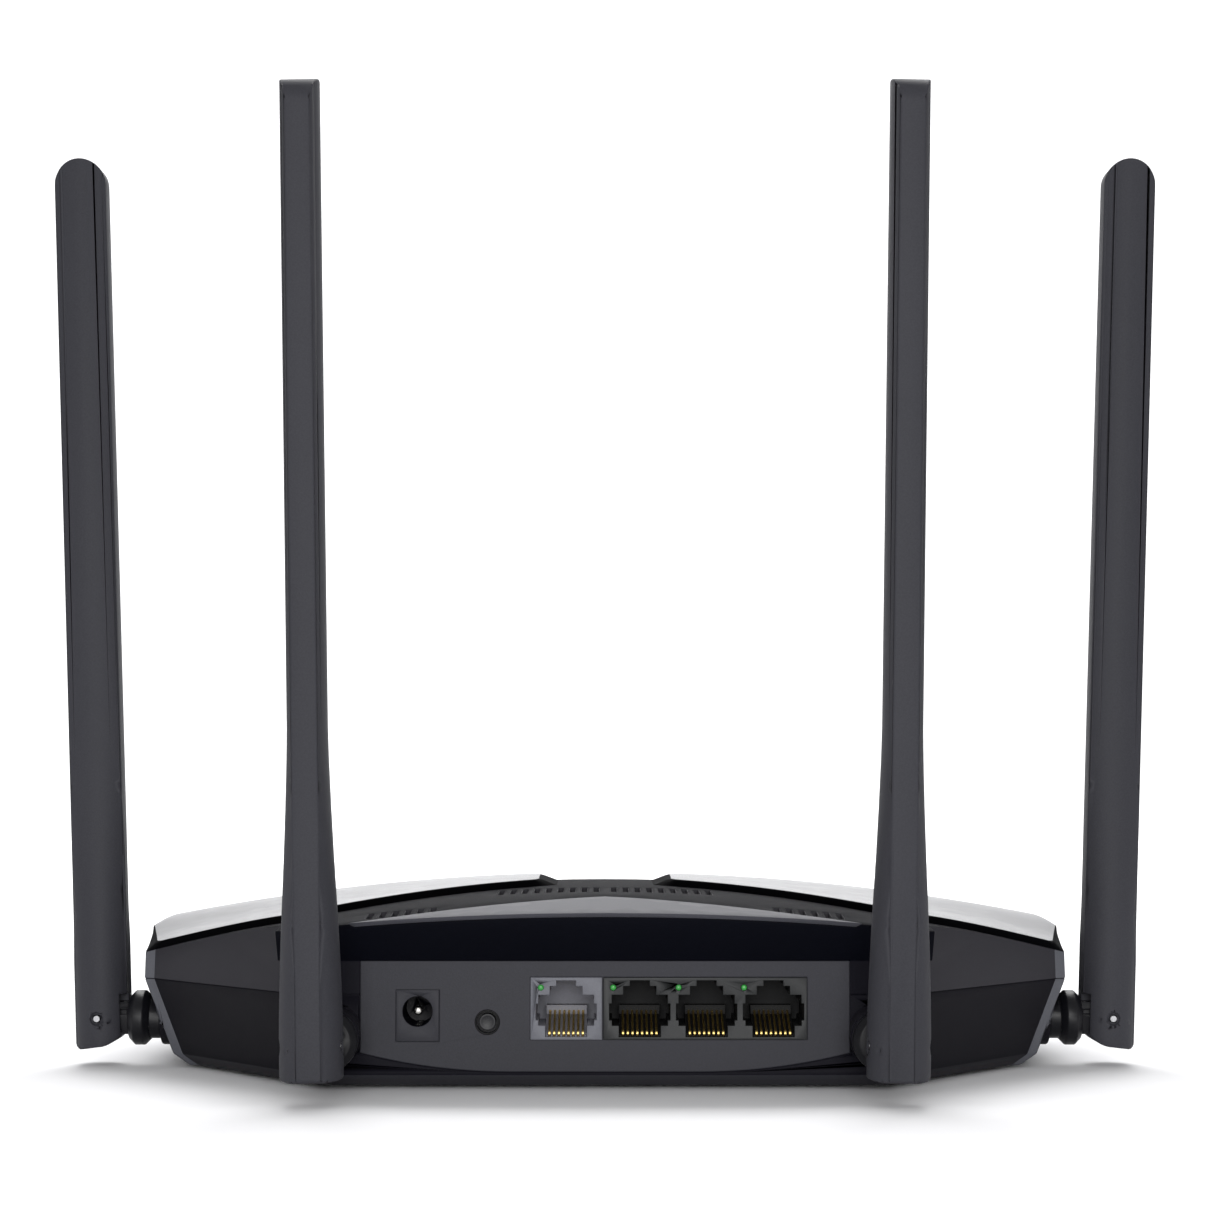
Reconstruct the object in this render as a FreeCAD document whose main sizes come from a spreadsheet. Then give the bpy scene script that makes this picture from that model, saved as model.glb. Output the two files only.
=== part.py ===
"""Desktop wireless router with four folding paddle antennas, built as an assembly.

Frame: +Z up, the port side faces -Y, the front edge faces +Y, and the origin is under the
middle of the whole object on the surface it stands on. All sizes are millimetres.
"""
import FreeCAD, Part
import math
import os
import re
import Sketcher

Vector = FreeCAD.Vector
Rotation = FreeCAD.Rotation

# Driving dimensions: alias, value in millimetres or degrees, what it is.
SIZES = [
    ("back_half", 65.0, "half width of the flat back of the case"),
    ("back_depth", 60.0, "back of the case behind the middle"),
    ("corner_half", 103.0, "half width at the rear corners"),
    ("corner_depth", 22.0, "rear corners behind the middle"),
    ("band_half", 105.4, "half width outside the narrow band on the rear corners"),
    ("band_depth", 21.0, "outer edge of that band behind the middle"),
    ("wide_half", 109.6, "half width at the widest place"),
    ("wide_ahead", 12.0, "widest place ahead of the middle"),
    ("shoulder_half", 105.0, "half width at the front corners"),
    ("shoulder_ahead", 46.0, "front corners ahead of the middle"),
    ("front_half", 64.0, "half width of the front edge"),
    ("front_ahead", 87.0, "front edge ahead of the middle"),
    ("sole_height", 0.8, "underside of the case above the table"),
    ("knee_height", 3.4, "top of the chamfer round the underside"),
    ("crease_height", 20.5, "parting line between the two shells"),
    ("blank_height", 52.0, "top of the blanks that the crowned roof trims"),
    ("knee_in", 6.7, "how far the rear corners lean in at the knee"),
    ("sole_in", 10.5, "how far the rear corners lean in at the underside"),
    ("sole_back_in", 4.0, "rake of the band under the port panel"),
    ("knee_front_in", 5.0, "front edge set back at the knee"),
    ("end_lean", 0.35, "share of the sides' lean at the ends of the back and front edges"),
    ("sole_front_in", 9.0, "front edge set back at the underside"),
    ("wall", 2.2, "wall thickness of the shells"),
    ("seam", 0.1, "overlap between tools that cut one opening"),
    ("run_out", 1.0, "how far tools run past the faces they cut"),
    ("rim_lap", 0.01, "hollow's rise above the parting line"),
    ("post_bite", 1.0, "foot of a screw post above the underside"),
    ("crown_in", 0.8, "how far the sides lean in at the top of the blank"),
    ("blank_low", 15.0, "level that plan blanks are drawn up from"),
    ("blank_tall", 40.0, "height of those blanks"),
    ("lip_half", 70.0, "half width of the overhanging rear lip"),
    ("lip_foot_height", 27.6, "where the undercut below the lip starts"),
    ("lip_overhang", 17.4, "undercut's reach at the top of the blank"),
    ("lip_root_depth", 30.0, "where the lip's blank starts behind the middle"),
    ("lip_skin", 2.86, "thickness of the undercut along Y"),
    ("window_half", 24.0, "half width of the status window"),
    ("window_deep", 3.4, "depth of the status window"),
    ("window_tall", 3.2, "height of the status window"),
    ("roof_skin", 2.0, "thickness of the deck"),
    ("wing_rise", 1.7, "height of the wing panels above the deck"),
    ("trim_rise", 0.3, "height of the rear trim above the deck"),
    ("trim_seat", 0.7, "depth of the trim's seat in the deck"),
    ("trim_half", 55.5, "half width of the rear trim"),
    ("trim_peak_depth", 47.0, "middle of the trim's front edge"),
    ("trim_end_depth", 66.2, "ends of the trim's front edge"),
    ("trim_back_depth", 90.0, "rear end of the trim's blank"),
    ("wing_tip_half", 11.4, "inner end of a wing from the centre line"),
    ("wing_tip_depth", 2.9, "rear end of a wing's inner edge behind the middle"),
    ("wing_tip_ahead", 20.5, "front end of a wing's inner edge ahead of the middle"),
    ("wing_elbow_half", 72.0, "rear elbow of a wing from the centre line"),
    ("wing_elbow_depth", 41.5, "rear elbow behind the middle"),
    ("wing_corner_half", 105.0, "outer rear corner of a wing from the centre line"),
    ("wing_corner_depth", 20.5, "outer rear corner of a wing behind the middle"),
    ("wing_wide_half", 118.6, "wing blank's reach past the widest place of the case"),
    ("wing_shoulder_half", 107.0, "outer front corner of a wing from the centre line"),
    ("wing_shoulder_ahead", 45.0, "outer front corner of a wing ahead of the middle"),
    ("wing_bow_ahead", 65.5, "front elbow of a wing ahead of the middle"),
    ("vent_pitch", 2.7, "distance between deck vents"),
    ("vent_width", 1.3, "width of a deck vent"),
    ("vent_reach", 30.0, "height of the blocks that cut the vents"),
    ("panel_half", 52.25, "half width of the port panel"),
    ("panel_low", 4.1, "bottom of the port panel"),
    ("panel_high", 27.6, "top of the port panel"),
    ("panel_flat_half", 20.0, "half width of the straight part of the panel's bottom"),
    ("panel_corner_height", 8.1, "bottom corners of the panel"),
    ("panel_sweep", 130.0, "radius of the panel's lower corners"),
    ("panel_thick", 1.8, "thickness of the port panel"),
    ("panel_tool_lead", 2.0, "how far the panel's tools start behind its face"),
    ("panel_tool_long", 6.0, "length of the panel's tools"),
    ("seat_ahead", 8.0, "how far the shells are cleared ahead of the panel"),
    ("seat_behind", 4.0, "how far the shells are cleared behind the panel"),
    ("jack_floor", 10.9, "bottom of the socket blocks"),
    ("jack_tall", 13.2, "height of the socket blocks"),
    ("jack_deep", 21.0, "depth of the socket blocks"),
    ("jack_proud", 0.2, "socket faces in front of the panel"),
    ("wan_left", -15.9, "left side of the single socket block"),
    ("wan_wide", 15.25, "width of the single socket block"),
    ("lan_left", -0.35, "left side of the three-socket block"),
    ("lan_wide", 43.5, "width of the three-socket block"),
    ("wan_axis", -8.3, "middle of the single socket"),
    ("lan_axis", 7.42, "middle of the first of three sockets"),
    ("jack_pitch", 14.27, "distance between sockets"),
    ("mouth_floor", 13.9, "bottom of a socket mouth"),
    ("mouth_wide", 11.9, "width of a socket mouth"),
    ("mouth_tall", 6.5, "height of the wide part of a mouth"),
    ("step_wide", 7.0, "width of the step above the mouth"),
    ("step_tall", 1.85, "height of that step"),
    ("latch_wide", 4.2, "width of the latch notch"),
    ("latch_tall", 1.2, "height of the latch notch"),
    ("ear_wide", 13.0, "width across the side notches"),
    ("ear_low", 15.05, "bottom of the side notches"),
    ("ear_tall", 3.5, "height of the side notches"),
    ("mouth_deep", 14.0, "depth of a socket mouth"),
    ("tray_wide", 8.9, "width of the contact tray below the mouth"),
    ("tray_low", 11.5, "floor of the contact tray"),
    ("contact_inset", 0.4, "contacts behind the panel's face"),
    ("contact_back_gap", 1.5, "contacts short of the mouth's end"),
    ("contact_rise", 3.2, "free ends of the contacts above the mouth's floor"),
    ("contact_thick", 0.5, "thickness of the contact strip at its foot"),
    ("contact_pitch", 1.02, "distance between contacts"),
    ("contact_wide", 0.45, "width of a contact"),
    ("wan_lamp", -13.7, "lamp of the single socket"),
    ("lan_lamp", 1.75, "lamp of the first of three sockets"),
    ("lamp_pitch", 13.97, "distance between the lamps of the three sockets"),
    ("lamp_long", 6.0, "length of a lamp's light guide"),
    ("lamp_height", 21.95, "height of the socket lamps"),
    ("lamp_radius", 0.65, "radius of a socket lamp"),
    ("inlet_axis", -40.0, "middle of the power inlet"),
    ("inlet_height", 16.9, "height of the power inlet's axis"),
    ("inlet_wide", 9.2, "width of the power inlet block"),
    ("inlet_low", 10.5, "bottom of the power inlet block"),
    ("inlet_tall", 11.0, "height of the power inlet block"),
    ("inlet_deep", 13.5, "depth of the power inlet block"),
    ("inlet_bore", 3.2, "radius of the inlet's mouth"),
    ("inlet_bore_deep", 10.0, "depth of the inlet's mouth"),
    ("inlet_pin_radius", 1.0, "radius of the inlet's centre pin"),
    ("inlet_root_radius", 0.5, "radius of the pin's root in the inlet's back wall"),
    ("inlet_pin_start", 1.0, "tip of the pin behind the panel's face"),
    ("spring_wide", 1.2, "width of the inlet's side spring"),
    ("spring_long", 7.5, "length of that spring"),
    ("spring_tall", 0.8, "thickness of that spring"),
    ("spring_start", 3.0, "spring behind the panel's face"),
    ("spring_slack", 0.2, "spring slot's opening into the mouth"),
    ("reset_axis", -25.1, "middle of the reset button"),
    ("reset_height", 14.6, "height of the reset button"),
    ("reset_hole", 2.3, "radius of the reset button's hole"),
    ("reset_radius", 1.8, "radius of the reset button"),
    ("reset_travel", 0.9, "travel of the reset button"),
    ("reset_long", 5.5, "length of the reset button"),
    ("reset_start", 0.3, "button's face behind the panel's face"),
    ("flange_radius", 3.2, "radius of the button's flange"),
    ("flange_thick", 0.8, "thickness of the button's flange"),
    ("flange_start", 3.0, "flange behind the panel's face"),
    ("switch_wide", 6.0, "width of the reset switch"),
    ("switch_deep", 3.5, "depth of the reset switch"),
    ("switch_tall", 8.2, "height of the reset switch"),
    ("switch_start", 6.9, "reset switch behind the panel's face"),
    ("axis_side_height", 11.0, "swivel axis of the side antennas"),
    ("axis_back_height", 12.0, "swivel axis of the rear antennas"),
    ("side_pin_half", 116.8, "fold pins of the side antennas from the centre line"),
    ("side_axis_depth", 14.9, "swivel axis of the side antennas behind the middle"),
    ("back_pin_depth", 81.5, "fold pins of the rear antennas behind the middle"),
    ("back_axis_half", 57.8, "swivel axis of the rear antennas from the centre line"),
    ("side_lean", 2.2, "outward lean of the side antennas at rest, degrees"),
    ("back_lean", 1.1, "outward lean of the rear antennas at rest, degrees"),
    ("blade_half", 6.02, "half width of an antenna blade"),
    ("blade_shift", 0.5, "blade's middle inward of its fold pin"),
    ("blade_side", 2.4, "blade's middle sideways of its stub"),
    ("blade_crown", 4.2, "half thickness of the blade at its middle"),
    ("blade_edge", 2.6, "half thickness of the blade at its edges"),
    ("blade_below", 7.0, "bottom of an antenna below its fold pin"),
    ("blade_above", 200.9, "top of an antenna above its fold pin"),
    ("heel_radius", 1.0, "outer bottom corner of an antenna"),
    ("slot_half", 2.0, "half width of the hinge slot"),
    ("slot_back", 3.9, "hinge slot beyond the fold pin"),
    ("slot_top", 5.2, "hinge slot above the fold pin"),
    ("slot_run", 9.0, "how far the slot's tool runs out below and inward"),
    ("fold_pin_radius", 0.7, "radius of the fold pin"),
    ("fold_pin_half", 6.2, "half length of the fold pin"),
    ("pin_well_radius", 1.45, "radius of the recess round the pin's ends"),
    ("pin_well_floor", 5.65, "recess floor from the middle of the blade"),
    ("pin_well_long", 3.0, "length of the tools that cut the recesses"),
    ("pin_hole_run", 2.0, "pin hole's tool past the ends of the pin"),
    ("tongue_half", 1.8, "half thickness of the stub's tongue"),
    ("tongue_radius", 3.7, "half height of the tongue and radius of its end"),
    ("tongue_bore", 0.76, "radius of the fold pin's hole in the tongue"),
    ("bore_reach", 5.0, "half length of the tool for that hole"),
    ("groove_start", 0.6, "tongue's grooves outward of the disc"),
    ("groove_long", 13.2, "length of the blocks that cut the grooves"),
    ("groove_deep", 0.5, "depth of a groove"),
    ("groove_low", 0.9, "bottom of a groove above the pin's axis"),
    ("groove_tall", 1.1, "height of a groove"),
    ("disc_face", 7.2, "stub's disc inward of the fold pin"),
    ("disc_thick", 4.9, "thickness of the disc"),
    ("disc_chamfer", 1.35, "chamfer on both sides of the disc"),
    ("disc_radius", 6.25, "radius of the disc"),
    ("neck_radius", 4.75, "radius of the neck behind the disc"),
    ("neck_slack", 0.7, "clearance round the neck in the case"),
    ("neck_end", 14.6, "end of the neck inward of the fold pin"),
    ("collar_end", 14.8, "outer end of the bearing collar inward of the fold pin"),
    ("collar_long", 9.4, "length of the bearing collar"),
    ("collar_radius", 6.15, "outer radius of the bearing collar"),
    ("collar_bore", 4.05, "bore of the bearing collar"),
    ("barrel_radius", 4.0, "radius of the stub in the collar"),
    ("barrel_end", 26.4, "inner end of the stub"),
    ("ring_start", 24.45, "retaining ring inward of the fold pin"),
    ("ring_thick", 0.9, "thickness of the retaining ring"),
    ("ring_inner", 3.3, "inner radius of the retaining ring"),
    ("ring_outer", 5.6, "outer radius of the retaining ring"),
    ("ring_gap", 3.2, "width of the retaining ring's opening"),
    ("ring_gap_tall", 8.0, "height of the block that cuts the opening"),
    ("lead_bore", 1.1, "radius of the aerial lead's hole"),
    ("lead_turn_out", 4.6, "how far the lead hole's tool starts inward of the stub"),
    ("lead_exit", 5.8, "lead's upward exit inward of the fold pin"),
    ("lead_exit_tall", 6.0, "height of the tool for that exit"),
    ("strip_wide", 6.8, "width of the aerial's circuit strip"),
    ("strip_thick", 1.0, "thickness of the aerial's circuit strip"),
    ("strip_start", 16.0, "circuit strip above the fold pin"),
    ("strip_long", 168.0, "length of the circuit strip"),
    ("strip_slack", 0.3, "clearance beside the circuit strip"),
    ("strip_ends", 3.0, "clearance at each end of the circuit strip"),
    ("duct_half", 1.2, "half width of the lead's duct"),
    ("duct_side", 0.9, "duct's reach past the blade's middle and the slot's"),
    ("duct_lap", 0.5, "duct's overlap with the hinge slot"),
    ("side_blank", 40.0, "width of the block that gives an antenna its outline"),
    ("board_half", 74.0, "half width of the main board"),
    ("board_back", 55.0, "rear edge of the main board behind the middle"),
    ("board_ahead", 52.0, "front edge of the main board"),
    ("board_low", 8.7, "underside of the main board"),
    ("board_thick", 1.6, "thickness of the main board"),
    ("choke_radius", 4.2, "radius of the power choke"),
    ("choke_tall", 4.5, "height of the power choke"),
    ("choke_across", -40.0, "power choke across the board"),
    ("choke_along", -22.0, "power choke along the board"),
    ("plug_radius", 1.6, "radius of an aerial plug"),
    ("plug_tall", 1.6, "height of an aerial plug"),
    ("lead_radius", 0.65, "radius of an aerial lead"),
    ("lead_rise", 2.3, "aerial leads above the board"),
    ("lead_bend", 3.0, "bend radius of an aerial lead"),
    ("lead_gap", 0.4, "lead's end short of the stub"),
    ("lead_straight", 9.0, "straight run of a lead before the stub"),
    ("post_slack", 0.4, "clearance round a screw post in the board"),
    ("post_half", 66.0, "screw posts from the centre line"),
    ("post_depth", 38.0, "rear screw posts behind the middle"),
    ("post_ahead", 44.0, "front screw posts ahead of the middle"),
    ("post_radius", 3.4, "radius of a screw post"),
    ("screw_radius", 1.2, "radius of a case screw"),
    ("screw_slack", 0.2, "clearance round a case screw"),
    ("screw_long", 12.5, "length of a screw's shank"),
    ("screw_low", 2.8, "bottom of a screw's shank"),
    ("screw_hole_low", 5.0, "bottom of a screw's hole in the upper shell"),
    ("screw_hole_tall", 11.0, "depth of that hole"),
    ("head_radius", 2.4, "radius of a screw head"),
    ("head_thick", 1.5, "thickness of a screw head"),
    ("head_low", 1.4, "bottom of a screw head"),
    ("head_well", 2.9, "depth of a screw head's well"),
    ("slot_wide", 0.6, "width of the driver slot"),
    ("slot_long", 3.0, "length of the driver slot"),
    ("slot_deep", 1.0, "height of the block that cuts the driver slot"),
    ("slot_low", 0.9, "bottom of that block"),
    ("foot_half", 70.0, "feet from the centre line"),
    ("foot_depth", 30.0, "rear feet behind the middle"),
    ("foot_ahead", 58.0, "front feet ahead of the middle"),
    ("foot_radius", 6.0, "radius of a foot"),
    ("foot_tall", 1.8, "height of a foot"),
    ("plate_wide", 56.0, "width of the rating plate"),
    ("plate_long", 34.0, "length of the rating plate"),
    ("plate_thick", 0.3, "thickness of the rating plate"),
    ("plate_rear", -2.0, "rear edge of the rating plate"),
]
ALIASES = {alias for alias, value, note in SIZES}

# Crowned roof: place along Y, height on the centre line, radius of the crown.
ROOF_STATIONS = [
    (-82.0, 36.3, 620.0),
    (-66.0, 38.15, 600.0),
    (-47.0, 40.3, 440.0),
    (-20.0, 41.0, 390.0),
    (12.0, 40.95, 495.0),
    (60.0, 36.0, 480.0),
    (96.0, 25.5, 455.0),
]
ROOF_HALF = 125.0
ROOF_BASE = -5.0

# How far each right-hand corner of the case outline moves for one millimetre of inset.
MITRES = [(0.41, 1.0), (0.57, 0.85), (0.92, 0.70), (1.0, 0.0), (0.95, -0.47), (0.41, -1.0)]

# Antenna flare: height above the bottom, half thickness at the middle and at the edges.
FLARE_STATIONS = [(0.0, 6.55, 2.0), (25.0, 6.15, 2.3), (44.0, 5.25, 2.6), (74.0, 4.2, 2.15)]

# Rows of deck vents: name, number a side, inner side of the first, rear end, length, how
# far each steps ahead for one vent pitch, and the level that the slots are cut down to.
VENT_ROWS = [
    ("centre", 9, "vent_pitch / 2", "-34", "17", 0, "32"),
    ("back", 6, "36.5", "-60.5", "8.5", 0, "32.5"),
    ("outer", 6, "73", "-48.2", "2.6", 1, "29"),
    ("front", 9, "vent_pitch / 2", "40", "17", 0, "30"),
]

# Right half of the main board's outline, from the back to the front.
BOARD_PLAN = [
    ("46", "-board_back"), ("46", "-46"), ("56", "-46"), ("board_half", "-30"), ("board_half", "24"),
    ("52", "board_ahead"),
]

# Blocks on the board: piece, number in the row, step across, lengths, left rear corner, and
# the height of the underside above the board.
BOARD_BLOCKS = [
    ("radio_shields", 2, 70, ("34", "26", "3.2"), (-52, -14), 0),
    ("processor", 1, 0, ("15", "15", "1.4"), (-7.5, 14), 0),
    ("heatsink", 1, 0, ("24", "24", "2"), (-12, 9.5), 1.4),
    ("heatsink", 8, 3.2, ("1", "24", "6"), (-12, 9.5), 3.3),
    ("line_transformers", 4, 14.2, ("12", "8.5", "5.5"), (-14.2, -37), 0),
    ("status_leds", 7, 5, ("1.6", "1.6", "1"), (-15.8, 48), 0),
]

# Capacitors: radius, height, and place on the board.
CANS = [(4, 12, -40, -34), (3.15, 9, -49, -33), (2.5, 7, -30, -36)]

# Aerial plugs on the board: distance from the centre line and place along Y.
PLUG_PLACES = {"side": (60, -8), "rear": (58, -24)}

# Lengths below this count as nothing.
TINY = 1e-6

CONTACTS_PER_JACK = 8
LAN_JACKS = 3

doc = FreeCAD.newDocument("wireless_router")
sheet = doc.addObject("Spreadsheet::Sheet", "Sizes")
sub_parts = []


def fill_sheet():
    """Write every driving dimension into the spreadsheet under its alias."""
    for row, (alias, value, note) in enumerate(SIZES, start=1):
        sheet.set(f"A{row}", note)
        sheet.set(f"B{row}", str(value))
        sheet.setAlias(f"B{row}", alias)
    doc.recompute()


def formula(text):
    """Turn a plain expression such as "wall * 2" into one that reads the spreadsheet."""
    def qualify(match):
        word = match.group()
        return f"Sizes.{word}" if word in ALIASES else word
    return re.sub(r"[a-z_]+[a-z0-9_]*", qualify, str(text))


def number(text):
    """The value of an expression."""
    return float(sheet.evalExpression(formula(text)))


def bind(thing, prop, text):
    """Bind a property of an object to an expression."""
    thing.setExpression(prop, formula(text))


def place(thing, corner, rotation=None):
    """Turn an object and bind its position to three expressions."""
    if rotation is not None:
        thing.Placement = FreeCAD.Placement(Vector(), rotation)
    for letter, text in zip("xyz", corner):
        bind(thing, f"Placement.Base.{letter}", text)
    return thing


def box(name, lengths, corner):
    """A block from its lowest corner."""
    block = doc.addObject("Part::Box", name)
    for prop, text in zip(("Length", "Width", "Height"), lengths):
        bind(block, prop, text)
    return place(block, corner)


TURNS = {
    "+X": Rotation(Vector(0, 1, 0), 90),
    "-X": Rotation(Vector(0, 1, 0), -90),
    "+Y": Rotation(Vector(1, 0, 0), -90),
    "-Y": Rotation(Vector(1, 0, 0), 90),
    "+Z": Rotation(),
    "-Z": Rotation(Vector(1, 0, 0), 180),
}


def rod(name, radius, length, start, towards="+Z"):
    """A cylinder from the middle of its first face."""
    cylinder = doc.addObject("Part::Cylinder", name)
    bind(cylinder, "Radius", radius)
    bind(cylinder, "Height", length)
    return place(cylinder, start, TURNS[towards])


def cut(name, base, tool):
    """Base without tool."""
    result = doc.addObject("Part::Cut", name)
    result.Base = base
    result.Tool = tool
    return result


def fuse(name, pieces):
    """One solid from several that meet."""
    result = doc.addObject("Part::MultiFuse", name)
    result.Shapes = pieces
    return result


def common(name, pieces):
    """What several solids share."""
    result = doc.addObject("Part::MultiCommon", name)
    result.Shapes = pieces
    return result


def group(name, pieces):
    """Separate solids kept together."""
    result = doc.addObject("Part::Compound", name)
    result.Links = pieces
    return result


def sub_part(thing, label):
    """Name a finished piece and keep it for export."""
    thing.Label = label
    sub_parts.append(thing)
    return thing


def arc_between(start, end, radius, turn):
    """The shorter arc from start to end, anticlockwise for a positive turn."""
    chord = end - start
    middle = (start + end) * 0.5
    rise = math.sqrt(max(radius ** 2 - (chord.Length / 2) ** 2, 0.0))
    side = Vector(-chord.y, chord.x, 0).normalize() * (rise * turn)
    centre = middle + side
    first, last = (start, end) if turn > 0 else (end, start)
    angles = [math.atan2(point.y - centre.y, point.x - centre.x) for point in (first, last)]
    circle = Part.Circle(centre, Vector(0, 0, 1), radius)
    return Part.ArcOfCircle(circle, angles[0], angles[1])


def draw(sketch, corners, arcs=None):
    """Draw a closed outline whose corners, and whose arcs' radii, are expressions.

    arcs maps the number of a side to its radius and its turn, +1 for anticlockwise.
    """
    arcs = arcs or {}
    points = [Vector(number(x), number(y), 0) for x, y in corners]
    ends = []
    for side, start in enumerate(points):
        end = points[(side + 1) % len(points)]
        if side in arcs:
            radius, turn = arcs[side]
            sketch.addGeometry(arc_between(start, end, number(radius), turn), False)
            ends.append((1, 2) if turn > 0 else (2, 1))
        else:
            sketch.addGeometry(Part.LineSegment(start, end), False)
            ends.append((1, 2))
    for side, (first, last) in enumerate(ends):
        following = (side + 1) % len(ends)
        sketch.addConstraint(Sketcher.Constraint("Coincident", side, last, following, ends[following][0]))
    for side, (corner, point) in enumerate(zip(corners, points)):
        for kind, text, value in zip(("DistanceX", "DistanceY"), corner, (point.x, point.y)):
            index = sketch.addConstraint(Sketcher.Constraint(kind, -1, 1, side, ends[side][0], value))
            bind(sketch, f"Constraints[{index}]", text)
    for side, (radius, turn) in arcs.items():
        fix_arc(sketch, side, radius, corners[side], points[side], points[(side + 1) % len(points)])
    return sketch


def fix_arc(sketch, side, radius, corner, start, end):
    """Hold an arc by its radius, or a half circle by its centre, level with its ends."""
    if (end - start).Length < 2 * number(radius) - TINY:
        index = sketch.addConstraint(Sketcher.Constraint("Radius", side, number(radius)))
        bind(sketch, f"Constraints[{index}]", radius)
        return
    upright = abs(end.x - start.x) < TINY
    kind, text, value = ("DistanceX", corner[0], start.x) if upright else ("DistanceY", corner[1], start.y)
    index = sketch.addConstraint(Sketcher.Constraint(kind, -1, 1, side, 3, value))
    bind(sketch, f"Constraints[{index}]", text)


def level_sketch(name, height, corners, arcs=None):
    """An outline drawn flat at a height."""
    sketch = doc.addObject("Sketcher::SketchObject", name)
    draw(sketch, corners, arcs)
    return place(sketch, ("0", "0", height))


def loft(name, sketches, ruled=True):
    """A solid through several outlines."""
    result = doc.addObject("Part::Loft", name)
    result.Sections = sketches
    result.Solid = True
    result.Ruled = ruled
    return result


def new_body(name):
    """An empty PartDesign body."""
    return doc.addObject("PartDesign::Body", name)


def body_sketch(body, name, role, offset, corners, arcs=None):
    """An outline on one of the body's own origin planes, moved along its normal."""
    sketch = body.newObject("Sketcher::SketchObject", name)
    plane = next(item for item in body.Origin.OriginFeatures if item.Role == role)
    sketch.AttachmentSupport = [(plane, "")]
    sketch.MapMode = "FlatFace"
    bind(sketch, "AttachmentOffset.Base.z", offset)
    return draw(sketch, corners, arcs)


def pad(body, name, sketch, length, both_ways=False):
    """Extrude an outline along its normal, or half of the length each way."""
    feature = body.newObject("PartDesign::Pad", name)
    feature.Profile = sketch
    bind(feature, "Length", length)
    feature.SideType = "Symmetric" if both_ways else "One side"
    return feature


def mirrored(points):
    """Close a right-hand chain of points with its mirror image."""
    return points + [(f"-({x})", y) for x, y in reversed(points)]


def case_outline(inset="0", side_in="0", back_in="0", front_in="0"):
    """The case's twelve-sided outline, moved in evenly by inset and leaned in at a level."""
    plan = [
        (f"back_half - ({side_in}) * end_lean", f"-(back_depth - ({back_in}))"),
        (f"corner_half - ({side_in})", "-corner_depth"),
        (f"band_half - ({side_in})", "-band_depth"),
        (f"wide_half - ({side_in})", "wide_ahead"),
        (f"shoulder_half - ({side_in})", "shoulder_ahead"),
        (f"front_half - ({side_in}) * end_lean", f"front_ahead - ({front_in})"),
    ]
    right = [
        (f"{x} - ({inset}) * {across}", f"{y} + ({inset}) * ({along})")
        for (x, y), (across, along) in zip(plan, MITRES)
    ]
    return mirrored(right)


def rectangle(left, low, wide, tall):
    """Corners of a rectangle, as expressions."""
    right = f"({left}) + ({wide})"
    high = f"({low}) + ({tall})"
    return [(left, low), (right, low), (right, high), (left, high)]


def roof_solid(name, lift):
    """Everything under the crowned roof, raised by lift: a loft through arched sections."""
    raised = number(lift)
    wires = []
    for along, height, radius in ROOF_STATIONS:
        sag = radius - math.sqrt(radius ** 2 - ROOF_HALF ** 2)
        left, top, right = (
            Vector(-ROOF_HALF, along, height + raised - sag),
            Vector(0, along, height + raised),
            Vector(ROOF_HALF, along, height + raised - sag),
        )
        low_left = Vector(-ROOF_HALF, along, ROOF_BASE)
        low_right = Vector(ROOF_HALF, along, ROOF_BASE)
        edges = [
            Part.Arc(left, top, right).toShape(),
            Part.LineSegment(right, low_right).toShape(),
            Part.LineSegment(low_right, low_left).toShape(),
            Part.LineSegment(low_left, left).toShape(),
        ]
        wires.append(Part.Wire(edges))
    roof = doc.addObject("Part::Feature", name)
    ruled, closed = False, False
    degree = len(wires) - 1
    roof.Shape = Part.makeLoft(wires, True, ruled, closed, degree)
    return roof


def prism(name, low, tall, corners, arcs=None):
    """A plan outline extruded upwards."""
    body = new_body(name)
    sketch = body_sketch(body, f"{name}_plan", "XY_Plane", low, corners, arcs)
    pad(body, f"{name}_pad", sketch, tall)
    return body


def panel_corners():
    """The port panel's outline: its bottom corners sweep up in large arcs."""
    corners = [
        ("-panel_flat_half", "panel_low"),
        ("panel_flat_half", "panel_low"),
        ("panel_half", "panel_corner_height"),
        ("panel_half", "panel_high"),
        ("-panel_half", "panel_high"),
        ("-panel_half", "panel_corner_height"),
    ]
    arcs = {1: ("panel_sweep", 1), 5: ("panel_sweep", 1)}
    return corners, arcs


def upright_prism(name, depth, thick, corners, arcs=None):
    """An outline in the XZ plane, at a depth behind the middle, extruded backwards."""
    body = new_body(name)
    sketch = body_sketch(body, f"{name}_face", "XZ_Plane", depth, corners, arcs)
    pad(body, f"{name}_pad", sketch, thick)
    return body


def hinge_places():
    """Each antenna's name, hand, turn about Z, fold pin position and swivel lean."""
    side_height, back_height = "axis_side_height", "axis_back_height"
    return [
        ("left_side", -1, 180, ("-side_pin_half", "-side_axis_depth", side_height), "side"),
        ("right_side", 1, 0, ("side_pin_half", "-side_axis_depth", side_height), "side"),
        ("left_rear", -1, -90, ("-back_axis_half", "-back_pin_depth", back_height), "rear"),
        ("right_rear", 1, -90, ("back_axis_half", "-back_pin_depth", back_height), "rear"),
    ]


def collars(prefix, radius, start, length):
    """Cylinders on the four swivel axes, starting a distance inward of the fold pins."""
    rods = []
    for name, hand, turn, (x, y, z), kind in hinge_places():
        if kind == "side":
            begin = (f"{hand} * (side_pin_half - ({start}))", y, z)
            towards = "+X" if hand < 0 else "-X"
        else:
            begin = (x, f"-(back_pin_depth - ({start}))", z)
            towards = "+Y"
        rods.append(rod(f"{prefix}_{name}", radius, length, begin, towards))
    return rods


def spots(half, depth, ahead):
    """Four places, mirrored left and right: two behind the middle and two ahead of it."""
    return [(f"{side} * ({half})", y) for y in (f"-({depth})", ahead) for side in (-1, 1)]


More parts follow.
